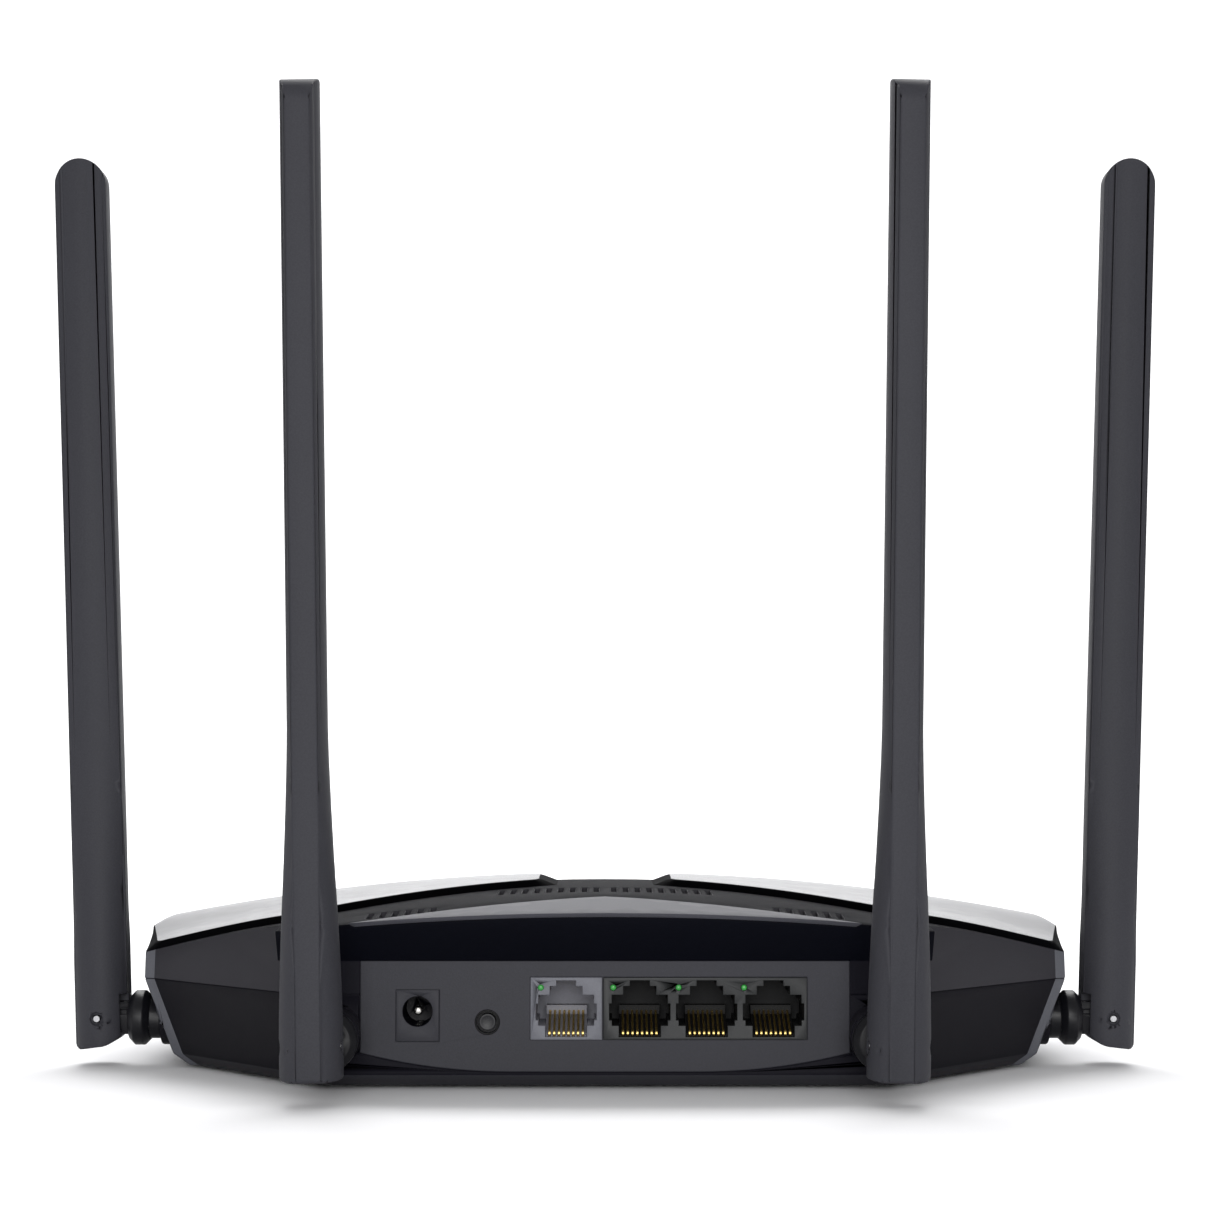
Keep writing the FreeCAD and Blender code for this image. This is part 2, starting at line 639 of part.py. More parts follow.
def build_bottom_shell(cutout):
    """Tapered lower tub with bearing collars, screw posts and recesses for the feet."""
    sole = level_sketch(
        "tub_sole", "sole_height", case_outline("0", "sole_in", "sole_back_in", "sole_front_in"))
    knee = level_sketch("tub_knee", "knee_height", case_outline("0", "knee_in", "0", "knee_front_in"))
    crease = level_sketch("tub_crease", "crease_height", case_outline())
    outside = loft("tub_outside", [sole, knee, crease])
    floor = level_sketch(
        "tub_floor", "sole_height + wall", case_outline("wall", "knee_in", "0", "knee_front_in"))
    rim = level_sketch("tub_rim", "crease_height + rim_lap", case_outline("wall"))
    tub = cut("tub_hollowed", outside, loft("tub_hollow", [floor, rim]))
    posts = []
    post_bores = []
    for index, (x, y) in enumerate(spots("post_half", "post_depth", "post_ahead"), start=1):
        post_tall = "board_low - sole_height - post_bite"
        posts.append(rod(f"tub_post_{index}", "post_radius", post_tall, (x, y, "sole_height + post_bite")))
        post_bores.append(rod(f"tub_post_bore_{index}", "screw_radius + screw_slack", "board_low", (x, y, "0")))
        post_bores.append(rod(f"tub_post_well_{index}", "head_radius + seam", "head_well", (x, y, "0")))
    for index, (x, y) in enumerate(spots("foot_half", "foot_depth", "foot_ahead"), start=1):
        post_bores.append(rod(f"tub_foot_seat_{index}", "foot_radius + seam", "foot_tall", (x, y, "0")))
    bearings = collars("tub_collar", "collar_radius", "collar_end", "collar_long")
    shell = fuse("tub_with_collars", [tub] + posts + bearings)
    bores = collars("tub_bore", "collar_bore", "collar_end - run_out", "collar_long + run_out * 2")
    reliefs = collars("tub_relief", "neck_radius + neck_slack", "disc_face", "collar_end - disc_face")
    shell = cut("tub_bored", shell, group("tub_bores", bores + reliefs + post_bores))
    return sub_part(cut("bottom_shell", shell, cutout), "bottom_shell")


def vent_slots():
    """Rows of narrow slots through the deck, mirrored left and right."""
    slots = []
    for row, count, first, low, length, step, level in VENT_ROWS:
        for index in range(count):
            inner = f"{first} + vent_pitch * {index}"
            start = f"{low} + vent_pitch * {step} * {index}"
            for side, left in ((-1, f"-({inner}) - vent_width"), (1, inner)):
                name = f"vent_{row}_{index}_{'left' if side < 0 else 'right'}"
                slots.append(box(name, ("vent_width", length, "vent_reach"), (left, start, level)))
    return group("vents", slots)


def build_window():
    """The status window let into the front edge of the upper shell."""
    outline = rectangle("-window_half", "front_ahead - window_deep", "window_half * 2", "window_deep")
    plan = prism("window_plan", "crease_height", "window_tall", outline)
    return sub_part(common("status_window", [plan, roof_solid("roof_window", "0")]), "status_window")


def lip_wedge(name, half, shift):
    """The overhanging rear lip, whose back leans outwards above the port panel."""
    corners = [
        (f"-back_depth + {shift}", "lip_foot_height"),
        ("-lip_root_depth", "lip_foot_height"),
        ("-lip_root_depth", "blank_height"),
        (f"-back_depth - lip_overhang + {shift}", "blank_height"),
    ]
    body = new_body(name)
    sketch = body_sketch(body, f"{name}_side", "YZ_Plane", "0", corners)
    pad(body, f"{name}_pad", sketch, f"({half}) * 2", both_ways=True)
    return body


def build_trim(outside):
    """The crescent of trim along the rear lip, pressed into a seat in the deck."""
    plan = prism("trim_plan", "blank_low", "blank_tall", [
        ("0", "-trim_peak_depth"), ("-trim_half", "-trim_end_depth"), ("-trim_half", "-trim_back_depth"),
        ("trim_half", "-trim_back_depth"), ("trim_half", "-trim_end_depth"),
    ])
    blank = common("trim_blank", [outside, plan, roof_solid("roof_trim", "trim_rise")])
    return sub_part(cut("rear_trim", blank, roof_solid("roof_seat", "-trim_seat")), "rear_trim")


def build_wings(blank, deck):
    """The two raised wing panels, which follow the crown of the deck."""
    over = roof_solid("roof_wing", "wing_rise")
    plan = [
        ("wing_tip_half", "-wing_tip_depth"),
        ("wing_elbow_half", "-wing_elbow_depth"),
        ("wing_corner_half", "-wing_corner_depth"),
        ("wing_wide_half", "wide_ahead"),
        ("wing_shoulder_half", "wing_shoulder_ahead"),
        ("wing_elbow_half", "wing_bow_ahead"),
        ("wing_tip_half", "wing_tip_ahead"),
    ]
    for side, label in ((-1, "left_wing"), (1, "right_wing")):
        corners = [(f"{side} * ({x})", y) for x, y in plan]
        wing_plan = prism(f"{label}_plan", "blank_low", "blank_tall", corners)
        raised = common(f"{label}_blank", [blank, wing_plan, over])
        sub_part(cut(label, raised, deck), label)


def cap_posts():
    """Screw posts from the board up into the deck, and the holes for their screws."""
    base = "board_low + board_thick"
    posts = []
    holes = []
    for index, (x, y) in enumerate(spots("post_half", "post_depth", "post_ahead"), start=1):
        posts.append(rod(f"cap_post_{index}", "post_radius", f"blank_height - ({base})", (x, y, base)))
        holes.append(rod(f"cap_post_hole_{index}", "screw_radius", "screw_hole_tall", (x, y, "screw_hole_low")))
    core = roof_solid("cap_core", "-roof_skin / 2")
    return common("cap_posts", [group("cap_post_set", posts), core]), group("cap_post_holes", holes)


def build_top(cutout, window):
    """Crowned upper shell with its overhanging lip, vents and screw posts."""
    crease = level_sketch("cap_crease", "crease_height", case_outline())
    crown = level_sketch("cap_crown", "blank_height", case_outline("0", "crown_in"))
    blank = loft("cap_blank", [crease, crown])
    mouth = level_sketch("cap_mouth", "crease_height - run_out", case_outline("wall"))
    ceiling = level_sketch("cap_ceiling", "blank_height", case_outline("wall", "crown_in"))
    hollow_blank = loft("cap_hollow_blank", [mouth, ceiling])
    outside = fuse("cap_and_lip", [blank, lip_wedge("lip_outside", "lip_half", "0")])
    hollows = fuse("cap_hollows", [hollow_blank, lip_wedge("lip_inside", "lip_half - wall", "lip_skin")])
    inside = common("cap_inside", [hollows, roof_solid("roof_ceiling", "-roof_skin")])
    deck = roof_solid("roof_deck", "0")
    shell = cut("cap_hollowed", common("cap_under_roof", [outside, deck]), inside)
    posts, holes = cap_posts()
    tools = [vent_slots(), build_trim(outside), window, holes, cutout]
    shell = cut("top_shell", fuse("cap_with_posts", [shell, posts]), group("cap_tools", tools))
    sub_part(shell, "top_shell")
    build_wings(blank, deck)


def mouth_tools(name, axis):
    """The stepped mouth of one socket, cut from the front."""
    front = "-back_depth - jack_proud - run_out"
    deep = "mouth_deep + run_out"
    steps = [
        ("main", "mouth_wide", "mouth_floor", "mouth_tall"),
        ("step", "step_wide", "mouth_floor + mouth_tall - seam", "step_tall + seam"),
        ("latch", "latch_wide", "mouth_floor + mouth_tall + step_tall - seam", "latch_tall + seam"),
        ("ears", "ear_wide", "ear_low", "ear_tall"),
        ("tray", "tray_wide", "tray_low", "mouth_floor - tray_low + seam"),
    ]
    return [
        box(f"{name}_{part}", (wide, deep, tall), (f"({axis}) - ({wide}) / 2", front, low))
        for part, wide, low, tall in steps
    ]


def contact_set(name, axis):
    """Eight sprung contact wires that rise from the lip of a mouth towards its back."""
    contacts = []
    for index in range(CONTACTS_PER_JACK):
        steps = index - (CONTACTS_PER_JACK - 1) / 2
        left = f"({axis}) + contact_pitch * ({steps}) - contact_wide / 2"
        body = new_body(f"{name}_{index + 1}")
        front = "-back_depth + contact_inset"
        back = "-back_depth + mouth_deep - contact_back_gap"
        corners = [
            (front, "tray_low"),
            (back, "tray_low"),
            (back, "mouth_floor + contact_rise"),
            (f"{back} - contact_thick", "mouth_floor + contact_rise"),
            (front, "tray_low + contact_thick"),
        ]
        sketch = body_sketch(body, f"{name}_{index + 1}_side", "YZ_Plane", left, corners)
        pad(body, f"{name}_{index + 1}_pad", sketch, "contact_wide")
        contacts.append(body)
    return contacts


def lamp_rod(name, across):
    """A round hole, or the lamp in it, beside one socket."""
    return rod(name, "lamp_radius", "lamp_long", (across, "-back_depth - jack_proud", "lamp_height"), "+Y")


def build_jacks():
    """The single socket block, the block of three, their contacts and their lamps."""
    front = "-back_depth - jack_proud"
    lan_jacks = [
        (f"lan_axis + jack_pitch * {place_number}", f"lan_lamp + lamp_pitch * {place_number}")
        for place_number in range(LAN_JACKS)
    ]
    blocks = [
        ("wan_socket", "wan_left", "wan_wide", [("wan_axis", "wan_lamp")]),
        ("lan_socket_bank", "lan_left", "lan_wide", lan_jacks),
    ]
    lamps = []
    for label, left, wide, jacks in blocks:
        block = box(f"{label}_block", (wide, "jack_deep", "jack_tall"), (left, front, "jack_floor"))
        tools = []
        contacts = []
        for index, (axis, lamp) in enumerate(jacks, start=1):
            tools += mouth_tools(f"{label}_mouth_{index}", axis)
            tools.append(lamp_rod(f"{label}_lamp_hole_{index}", lamp))
            contacts += contact_set(f"{label}_contact_{index}", axis)
            lamps.append(lamp_rod(f"{label}_lamp_{index}", lamp))
        sub_part(cut(label, block, group(f"{label}_tools", tools)), label)
        sub_part(group(f"{label}_contacts", contacts), f"{label}_contacts")
    sub_part(group("socket_lamps", lamps), "socket_lamps")


def build_inlet():
    """The power inlet: a block with a round mouth, a centre pin and a side spring."""
    front = "-back_depth - jack_proud"
    block = box("inlet_block", ("inlet_wide", "inlet_deep", "inlet_tall"),
                ("inlet_axis - inlet_wide / 2", front, "inlet_low"))
    axis_start = ("inlet_axis", f"{front} - run_out", "inlet_height")
    mouth = rod("inlet_mouth", "inlet_bore", "inlet_bore_deep + run_out", axis_start, "+Y")
    socket = rod("inlet_pin_hole", "inlet_root_radius", "inlet_deep + run_out * 2", axis_start, "+Y")
    spring_corner = (
        "inlet_axis - spring_wide / 2", "-back_depth + spring_start", "inlet_height - inlet_bore - spring_tall")
    slot_size = ("spring_wide", "spring_long", "spring_tall + spring_slack")
    spring_slot = box("inlet_spring_slot", slot_size, spring_corner)
    sub_part(cut("power_inlet", block, group("inlet_tools", [mouth, socket, spring_slot])), "power_inlet")
    pin_start = ("inlet_axis", "-back_depth + inlet_pin_start", "inlet_height")
    shank_long = "inlet_bore_deep - jack_proud - inlet_pin_start"
    root_long = "inlet_deep - jack_proud - inlet_pin_start"
    shank = rod("inlet_pin_shank", "inlet_pin_radius", shank_long, pin_start, "+Y")
    root = rod("inlet_pin_root", "inlet_root_radius", root_long, pin_start, "+Y")
    sub_part(fuse("inlet_pin_blank", [shank, root]), "power_inlet_pin")
    spring = box("power_inlet_spring", ("spring_wide", "spring_long", "spring_tall"), spring_corner)
    sub_part(spring, "power_inlet_spring")


def build_panel():
    """The flat port panel with its openings, and the tool that clears the shells for it."""
    corners, arcs = panel_corners()
    plate = upright_prism("panel_plate", "back_depth - panel_thick", "panel_thick", corners, arcs)
    start = "-back_depth - panel_tool_lead"
    deep = "panel_tool_long"
    openings = [
        box("panel_wan", ("wan_wide", deep, "jack_tall"), ("wan_left", start, "jack_floor")),
        box("panel_lan", ("lan_wide", deep, "jack_tall"), ("lan_left", start, "jack_floor")),
        box("panel_inlet", ("inlet_wide", deep, "inlet_tall"), ("inlet_axis - inlet_wide / 2", start, "inlet_low")),
        rod("panel_reset", "reset_hole", deep, ("reset_axis", start, "reset_height"), "+Y"),
    ]
    sub_part(cut("port_panel", plate, group("panel_openings", openings)), "port_panel")


def build_reset():
    """The reset button and the switch behind it."""
    face_start = ("reset_axis", "-back_depth + reset_start", "reset_height")
    flange_start = ("reset_axis", "-back_depth + flange_start", "reset_height")
    face = rod("reset_face", "reset_radius", "reset_long", face_start, "+Y")
    flange = rod("reset_flange", "flange_radius", "flange_thick", flange_start, "+Y")
    sub_part(fuse("reset_button", [face, flange]), "reset_button")
    corner = ("reset_axis - switch_wide / 2", "-back_depth + switch_start", "board_low + board_thick")
    sub_part(box("reset_switch", ("switch_wide", "switch_deep", "switch_tall"), corner), "reset_switch")


def board_blocks(label):
    """The blocks of one piece on the board, each from its row in the table."""
    blocks = []
    for piece, count, step, lengths, (left, rear), lift in BOARD_BLOCKS:
        if piece == label:
            for place_number in range(count):
                corner = (left + step * place_number, rear, f"board_low + board_thick + {lift}")
                blocks.append(box(f"{label}_block_{len(blocks) + 1}", lengths, corner))
    return blocks


def build_electronics():
    """The main board and what stands on it."""
    top = "board_low + board_thick"
    board = prism("board_blank", "board_low", "board_thick", mirrored(BOARD_PLAN))
    holes = []
    for index, (x, y) in enumerate(spots("post_half", "post_depth", "post_ahead"), start=1):
        hole_start = (x, y, "board_low - run_out")
        hole_long = "board_thick + run_out * 2"
        holes.append(rod(f"board_hole_{index}", "post_radius + post_slack", hole_long, hole_start))
    sub_part(cut("main_board", board, group("board_holes", holes)), "main_board")
    for label in ("radio_shields", "processor", "line_transformers", "status_leds"):
        sub_part(group(label, board_blocks(label)), label)
    sub_part(fuse("heatsink", board_blocks("heatsink")), "heatsink")
    cans = [
        rod(f"can_{index}", radius, tall, (x, y, top))
        for index, (radius, tall, x, y) in enumerate(CANS, start=1)
    ]
    sub_part(group("capacitors", cans), "capacitors")
    sub_part(rod("choke", "choke_radius", "choke_tall", ("choke_across", "choke_along", top)), "power_choke")
    plugs = [
        rod(f"lead_plug_{index}_{hand + 2}", "plug_radius", "plug_tall", (f"{hand} * {half}", along, top))
        for index, (half, along) in enumerate(PLUG_PLACES.values(), start=1)
        for hand in (-1, 1)
    ]
    sub_part(group("aerial_plugs", plugs), "aerial_plugs")


def build_base():
    """The feet, the case screws and the blank rating plate."""
    feet = [
        rod(f"foot_{index}", "foot_radius", "foot_tall", (x, y, "0"))
        for index, (x, y) in enumerate(spots("foot_half", "foot_depth", "foot_ahead"), start=1)
    ]
    sub_part(group("rubber_feet", feet), "rubber_feet")
    screws = []
    for index, (x, y) in enumerate(spots("post_half", "post_depth", "post_ahead"), start=1):
        head = rod(f"screw_head_{index}", "head_radius", "head_thick", (x, y, "head_low"))
        shank = rod(f"screw_shank_{index}", "screw_radius", "screw_long", (x, y, "screw_low"))
        corner = (f"{x} - slot_wide / 2", f"{y} - slot_long / 2", "slot_low")
        recess = box(f"screw_recess_{index}", ("slot_wide", "slot_long", "slot_deep"), corner)
        screws.append(cut(f"screw_{index}", fuse(f"screw_blank_{index}", [head, shank]), recess))
    sub_part(group("case_screws", screws), "case_screws")
    corner = ("-plate_wide / 2", "plate_rear", "sole_height - plate_thick")
    plate = box("rating_plate", ("plate_wide", "plate_long", "plate_thick"), corner)
    sub_part(plate, "rating_plate")


def antenna_section(name, height, crown, edge, middle):
    """One cross-section of an antenna: flat edges joined by two crowned faces."""
    bulge = f"(({crown}) - ({edge}))"
    radius = f"(blade_half ^ 2 + {bulge} ^ 2) / (2 * {bulge})"
    inner, outer = "-blade_shift - blade_half", "-blade_shift + blade_half"
    low, high = f"{middle} - ({edge})", f"{middle} + ({edge})"
    corners = [(inner, low), (outer, low), (outer, high), (inner, high)]
    return level_sketch(name, height, corners, {0: (radius, 1), 2: (radius, 1)})


def build_antenna(name, hand, pose):
    """A paddle antenna: shell, circuit strip and fold pin, in the hinge's own frame.

    The fold pin lies along Y through the origin, X points out of the case and Z up the blade.
    """
    middle = f"{hand} * blade_side"
    low = "-blade_below"
    blade = loft(f"{name}_blade", [
        antenna_section(f"{name}_blade_low", low, "blade_crown", "blade_edge", middle),
        antenna_section(f"{name}_blade_high", "blade_above", "blade_crown", "blade_edge", middle),
    ])
    flare = loft(f"{name}_flare", [
        antenna_section(f"{name}_flare_{index}", f"{low} + {rise}", crown, edge, middle)
        for index, (rise, crown, edge) in enumerate(FLARE_STATIONS)
    ], ruled=False)
    inner, outer = "-blade_shift - blade_half", "-blade_shift + blade_half"
    tip = "blade_above - blade_half"
    side = new_body(f"{name}_side")
    outline = body_sketch(side, f"{name}_side_outline", "XZ_Plane", "0", [
        (inner, "0"),
        ("0", f"{inner}"),
        (f"{outer} - heel_radius", low),
        (outer, f"{low} + heel_radius"),
        (outer, tip),
        (inner, tip),
    ], {0: ("blade_shift + blade_half", 1), 2: ("heel_radius", 1), 4: ("blade_half", 1)})
    pad(side, f"{name}_side_pad", outline, "side_blank", both_ways=True)
    solid = common(f"{name}_solid", [fuse(f"{name}_blank", [blade, flare]), side])
    strip_low = f"{middle} - strip_thick / 2"
    slot_long = "slot_back + slot_run"
    slot_tall = "slot_top + slot_run"
    hole_start = ("0", f"{middle} - fold_pin_half - pin_hole_run", "0")
    hole_long = "(fold_pin_half + pin_hole_run) * 2"
    tools = [
        box(f"{name}_slot", (slot_long, "slot_half * 2", slot_tall), ("-slot_run", "-slot_half", "-slot_run")),
        rod(f"{name}_pin_hole", "fold_pin_radius", hole_long, hole_start, "+Y"),
        rod(f"{name}_well_a", "pin_well_radius", "pin_well_long",
            ("0", f"{middle} - pin_well_floor", "0"), "-Y"),
        rod(f"{name}_well_b", "pin_well_radius", "pin_well_long",
            ("0", f"{middle} + pin_well_floor", "0"), "+Y"),
        box(f"{name}_strip_gap", ("strip_wide + strip_slack * 2", "strip_thick", "strip_long + strip_ends * 2"),
            ("-blade_shift - strip_wide / 2 - strip_slack", strip_low, "strip_start - strip_ends")),
        box(f"{name}_lead_gap", ("duct_half * 2", "blade_side + duct_side * 2", "strip_start - slot_top + run_out"),
            ("-duct_half", f"min({middle}; 0) - duct_side", "slot_top - duct_lap")),
    ]
    shell = cut(f"{name}_shell_cut", solid, group(f"{name}_tools", tools))
    strip = box(f"{name}_strip_block", ("strip_wide", "strip_thick", "strip_long"),
                ("-blade_shift - strip_wide / 2", strip_low, "strip_start"))
    pin_start = ("0", f"{middle} - fold_pin_half", "0")
    pin = rod(f"{name}_pin_rod", "fold_pin_radius", "fold_pin_half * 2", pin_start, "+Y")
    for piece, label in ((shell, "antenna_shell"), (strip, "antenna_strip"), (pin, "fold_pin")):
        held = group(f"{name}_{label}_held", [piece])
        held.Placement = pose
        sub_part(held, f"{name}_{label}")


def build_stub(name, pose):
    """The swivel stub, turned from one bar with a flat tongue, and its retaining ring."""
    stub = new_body(f"{name}_stub_blank")
    disc_back = "disc_face + disc_thick"
    profile = body_sketch(stub, f"{name}_stub_profile", "XZ_Plane", "0", [
        ("-disc_face", "0"),
        ("-disc_face", "disc_radius - disc_chamfer"),
        ("-disc_face - disc_chamfer", "disc_radius"),
        (f"-({disc_back}) + disc_chamfer", "disc_radius"),
        (f"-({disc_back})", "disc_radius - disc_chamfer"),
        (f"-({disc_back})", "neck_radius"),
        ("-neck_end", "neck_radius"),
        ("-neck_end", "barrel_radius"),
        ("-ring_start", "barrel_radius"),
        ("-ring_start", "ring_inner"),
        ("-ring_start - ring_thick", "ring_inner"),
        ("-ring_start - ring_thick", "barrel_radius"),
        ("-barrel_end", "barrel_radius"),
        ("-barrel_end", "0"),
    ])
    turned = stub.newObject("PartDesign::Revolution", f"{name}_stub_turned")
    turned.Profile = profile
    turned.ReferenceAxis = (profile, ["H_Axis"])
    turned.Angle = 360
    tongue = body_sketch(stub, f"{name}_tongue_outline", "XZ_Plane", "0", [
        ("-disc_face - run_out", "-tongue_radius"),
        ("0", "-tongue_radius"),
        ("0", "tongue_radius"),
        ("-disc_face - run_out", "tongue_radius"),
    ], {1: ("tongue_radius", 1)})
    pad(stub, f"{name}_tongue_pad", tongue, "tongue_half * 2", both_ways=True)
    tools = [
        rod(f"{name}_tongue_bore", "tongue_bore", "bore_reach * 2", ("0", "-bore_reach", "0"), "+Y"),
        rod(f"{name}_lead_bore", "lead_bore", "barrel_end", ("-barrel_end - lead_turn_out", "0", "0"), "+X"),
        rod(f"{name}_lead_exit", "lead_bore", "lead_exit_tall", ("-lead_exit", "0", "0")),
    ]
    for hand, side in ((1, "near"), (-1, "far")):
        corner = ("-disc_face + groove_start", f"{hand} * tongue_half - groove_deep", "groove_low")
        tools.append(box(f"{name}_groove_{side}", ("groove_long", "groove_deep * 2", "groove_tall"), corner))
    cut_stub = cut(f"{name}_stub_cut", stub, group(f"{name}_stub_tools", tools))
    ring = rod(f"{name}_ring_blank", "ring_outer", "ring_thick", ("-ring_start", "0", "0"), "-X")
    ring_tools = [
        rod(f"{name}_ring_hole", "ring_inner", "ring_thick + run_out * 2",
            ("-ring_start + run_out", "0", "0"), "-X"),
        box(f"{name}_ring_gap", ("ring_thick + run_out * 2", "ring_gap", "ring_gap_tall"),
            ("-ring_start - ring_thick - run_out", "-ring_gap / 2", "0")),
    ]
    cut_ring = cut(f"{name}_ring_cut", ring, group(f"{name}_ring_tools", ring_tools))
    for piece, label in ((cut_stub, "swivel_stub"), (cut_ring, "retaining_ring")):
        held = group(f"{name}_{label}_held", [piece])
        held.Placement = pose
        sub_part(held, f"{name}_{label}")


def build_hinges():
    """All four antennas with their stubs, leaning a little outwards as they stand at rest."""
    for name, hand, turn, spot, kind in hinge_places():
        facing = Rotation(Vector(0, 0, 1), turn)
        where = Vector(*[number(text) for text in spot])
        if kind == "side":
            stub_turn = facing
            blade_turn = facing * Rotation(Vector(0, 1, 0), number("side_lean"))
        else:
            stub_turn = facing * Rotation(Vector(1, 0, 0), -hand * number("back_lean"))
            blade_turn = stub_turn
        build_stub(name, FreeCAD.Placement(where, stub_turn))
        build_antenna(name, hand, FreeCAD.Placement(where, blade_turn))


def build_leads():
    """Aerial leads from their plugs on the board to the inner ends of the stubs."""
    top = number("board_low + board_thick + lead_rise")
    inner = number("barrel_end + lead_gap")
    straight = number("lead_straight")
    leads = []
    for name, hand, turn, spot, kind in hinge_places():
        axis = Vector(*[number(text) for text in spot])
        half, along = PLUG_PLACES[kind]
        plug = Vector(hand * half, along, top)
        inward = Vector(-hand, 0, 0) if kind == "side" else Vector(0, 1, 0)
        mouth = axis + inward * inner
        approach = mouth + inward * straight
        path = rounded_path([plug, Vector(approach.x, approach.y, top), mouth], number("lead_bend"))
        first = path.Edges[0]
        facing = first.tangentAt(first.FirstParameter)
        profile = Part.Wire(Part.makeCircle(number("lead_radius"), path.Vertexes[0].Point, facing))
        lead = doc.addObject("Part::Feature", f"lead_{name}")
        lead.Shape = path.makePipeShell([profile], True, True)
        leads.append(lead)
    sub_part(group("aerial_leads", leads), "aerial_leads")


def rounded_path(points, radius):
    """Straight runs through the points, joined by tangent arcs."""
    edges = []
    start = points[0]
    for before, corner, after in zip(points, points[1:], points[2:]):
        arrive = (corner - before).normalize()
        leave = (after - corner).normalize()
        turn = arrive.getAngle(leave)
        back = radius * math.tan(turn / 2)
        first = corner - arrive * back
        last = corner + leave * back
        towards = (leave - arrive).normalize()
        middle = corner + towards * (radius / math.cos(turn / 2) - radius)
        edges.append(Part.LineSegment(start, first).toShape())
        edges.append(Part.Arc(first, middle, last).toShape())
        start = last
    edges.append(Part.LineSegment(start, points[-1]).toShape())
    return Part.Wire(edges)


def check_document():
    """Stop if any object failed or any sub-part has no sound shape."""
    for thing in doc.Objects:
        if {"Invalid", "Error"} & set(thing.State):
            raise RuntimeError(f"{thing.Name} failed: {thing.State}")
    for piece in sub_parts:
        if piece.Shape.isNull() or not piece.Shape.isValid() or not piece.Shape.Solids:
            raise RuntimeError(f"{piece.Label} has no valid solid")


def export():
    """Write each sub-part's shape to its own file."""
    os.makedirs("parts", exist_ok=True)
    for piece in sub_parts:
        piece.Shape.exportStep(f"parts/{piece.Label}.step")


fill_sheet()
build_panel()
panel_outline, panel_arcs = panel_corners()
seat_depth = "back_depth - panel_thick - seat_ahead"
seat_thick = "panel_thick + seat_ahead + seat_behind"
shell_cutout = upright_prism("panel_seat", seat_depth, seat_thick, panel_outline, panel_arcs)
build_bottom_shell(shell_cutout)
build_top(shell_cutout, build_window())
build_jacks()
build_inlet()
build_reset()
build_electronics()
build_base()
build_hinges()
build_leads()
doc.recompute()
check_document()
export()
for piece in sub_parts:
    print(f"{piece.Label}: {len(piece.Shape.Solids)} solid(s), {piece.Shape.Volume:.0f} mm3")
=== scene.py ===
"""Finishes and fine shapes for a wireless router with four folding paddle antennas."""
import math
import bmesh
import bpy
import numpy as np
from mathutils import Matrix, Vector


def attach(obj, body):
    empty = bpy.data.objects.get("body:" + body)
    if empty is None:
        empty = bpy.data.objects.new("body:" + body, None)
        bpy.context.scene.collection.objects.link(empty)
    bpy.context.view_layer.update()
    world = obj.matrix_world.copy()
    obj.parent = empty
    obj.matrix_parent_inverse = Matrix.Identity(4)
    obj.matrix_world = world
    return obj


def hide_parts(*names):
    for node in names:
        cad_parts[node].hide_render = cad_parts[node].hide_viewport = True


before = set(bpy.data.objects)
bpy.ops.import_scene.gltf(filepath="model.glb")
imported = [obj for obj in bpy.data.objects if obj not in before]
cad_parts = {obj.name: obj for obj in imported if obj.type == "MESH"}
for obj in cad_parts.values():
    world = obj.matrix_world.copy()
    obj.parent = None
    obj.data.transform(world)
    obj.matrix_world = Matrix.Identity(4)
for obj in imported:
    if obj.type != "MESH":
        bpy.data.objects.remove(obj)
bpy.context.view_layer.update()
MM = 0.001


# ---- Studio: floor, backdrop, lights and camera -------------------------------------------
# A white paper sweep under soft boxes, as for a catalogue: the floor runs back and curves
# up behind the router, and the router stands on it on its rubber feet.

def linear(text):
    """Linear colour of an sRGB hex value: each channel is divided or raised by the sRGB curve."""
    channels = [int(text[i:i + 2], 16) / 255 for i in (1, 3, 5)]
    return tuple(c / 12.92 if c <= 0.04045 else ((c + 0.055) / 1.055) ** 2.4 for c in channels) + (1.0,)


def add_node(tree, kind, settings=None, links=None):
    """Add a node, set its properties or input sockets by name, and link sockets into it."""
    node = tree.nodes.new(kind)
    for key, value in (settings or {}).items():
        if isinstance(key, str) and hasattr(node, key):
            setattr(node, key, value)
        else:
            node.inputs[key].default_value = value
    for key, source in (links or {}).items():
        tree.links.new(source, node.inputs[key])
    return node


def new_material(name):
    """An empty node material and its output node."""
    material = bpy.data.materials.new(name)
    material.use_nodes = True
    material.node_tree.nodes.clear()
    return material, material.node_tree


SWEEP_HALF_WIDTH = 3.0
SWEEP_FRONT = -1.4
SWEEP_BACK = 2.2
SWEEP_RADIUS = 0.9
SWEEP_TOP = 2.4
SWEEP_SEGMENTS = 24

turn = np.linspace(0, math.pi / 2, SWEEP_SEGMENTS)
curve = SWEEP_BACK + SWEEP_RADIUS * np.sin(turn)
along = np.concatenate([[SWEEP_FRONT], curve, [SWEEP_BACK + SWEEP_RADIUS]])
height = np.concatenate([[0.0], SWEEP_RADIUS * (1 - np.cos(turn)), [SWEEP_TOP]])
sweep = np.zeros((len(along), 2, 3))
sweep[:, 0, 0], sweep[:, 1, 0] = SWEEP_HALF_WIDTH, -SWEEP_HALF_WIDTH
sweep[..., 1] = along[:, None]
sweep[..., 2] = height[:, None]
rows = np.arange(len(along) - 1)
sweep_faces = np.stack([rows * 2, rows * 2 + 2, rows * 2 + 3, rows * 2 + 1], axis=1)
sweep_mesh = bpy.data.meshes.new("paper_sweep")
sweep_mesh.from_pydata(sweep.reshape(-1, 3).tolist(), [], sweep_faces.tolist())
sweep_mesh.shade_smooth()
paper_sweep = bpy.data.objects.new("paper_sweep", sweep_mesh)
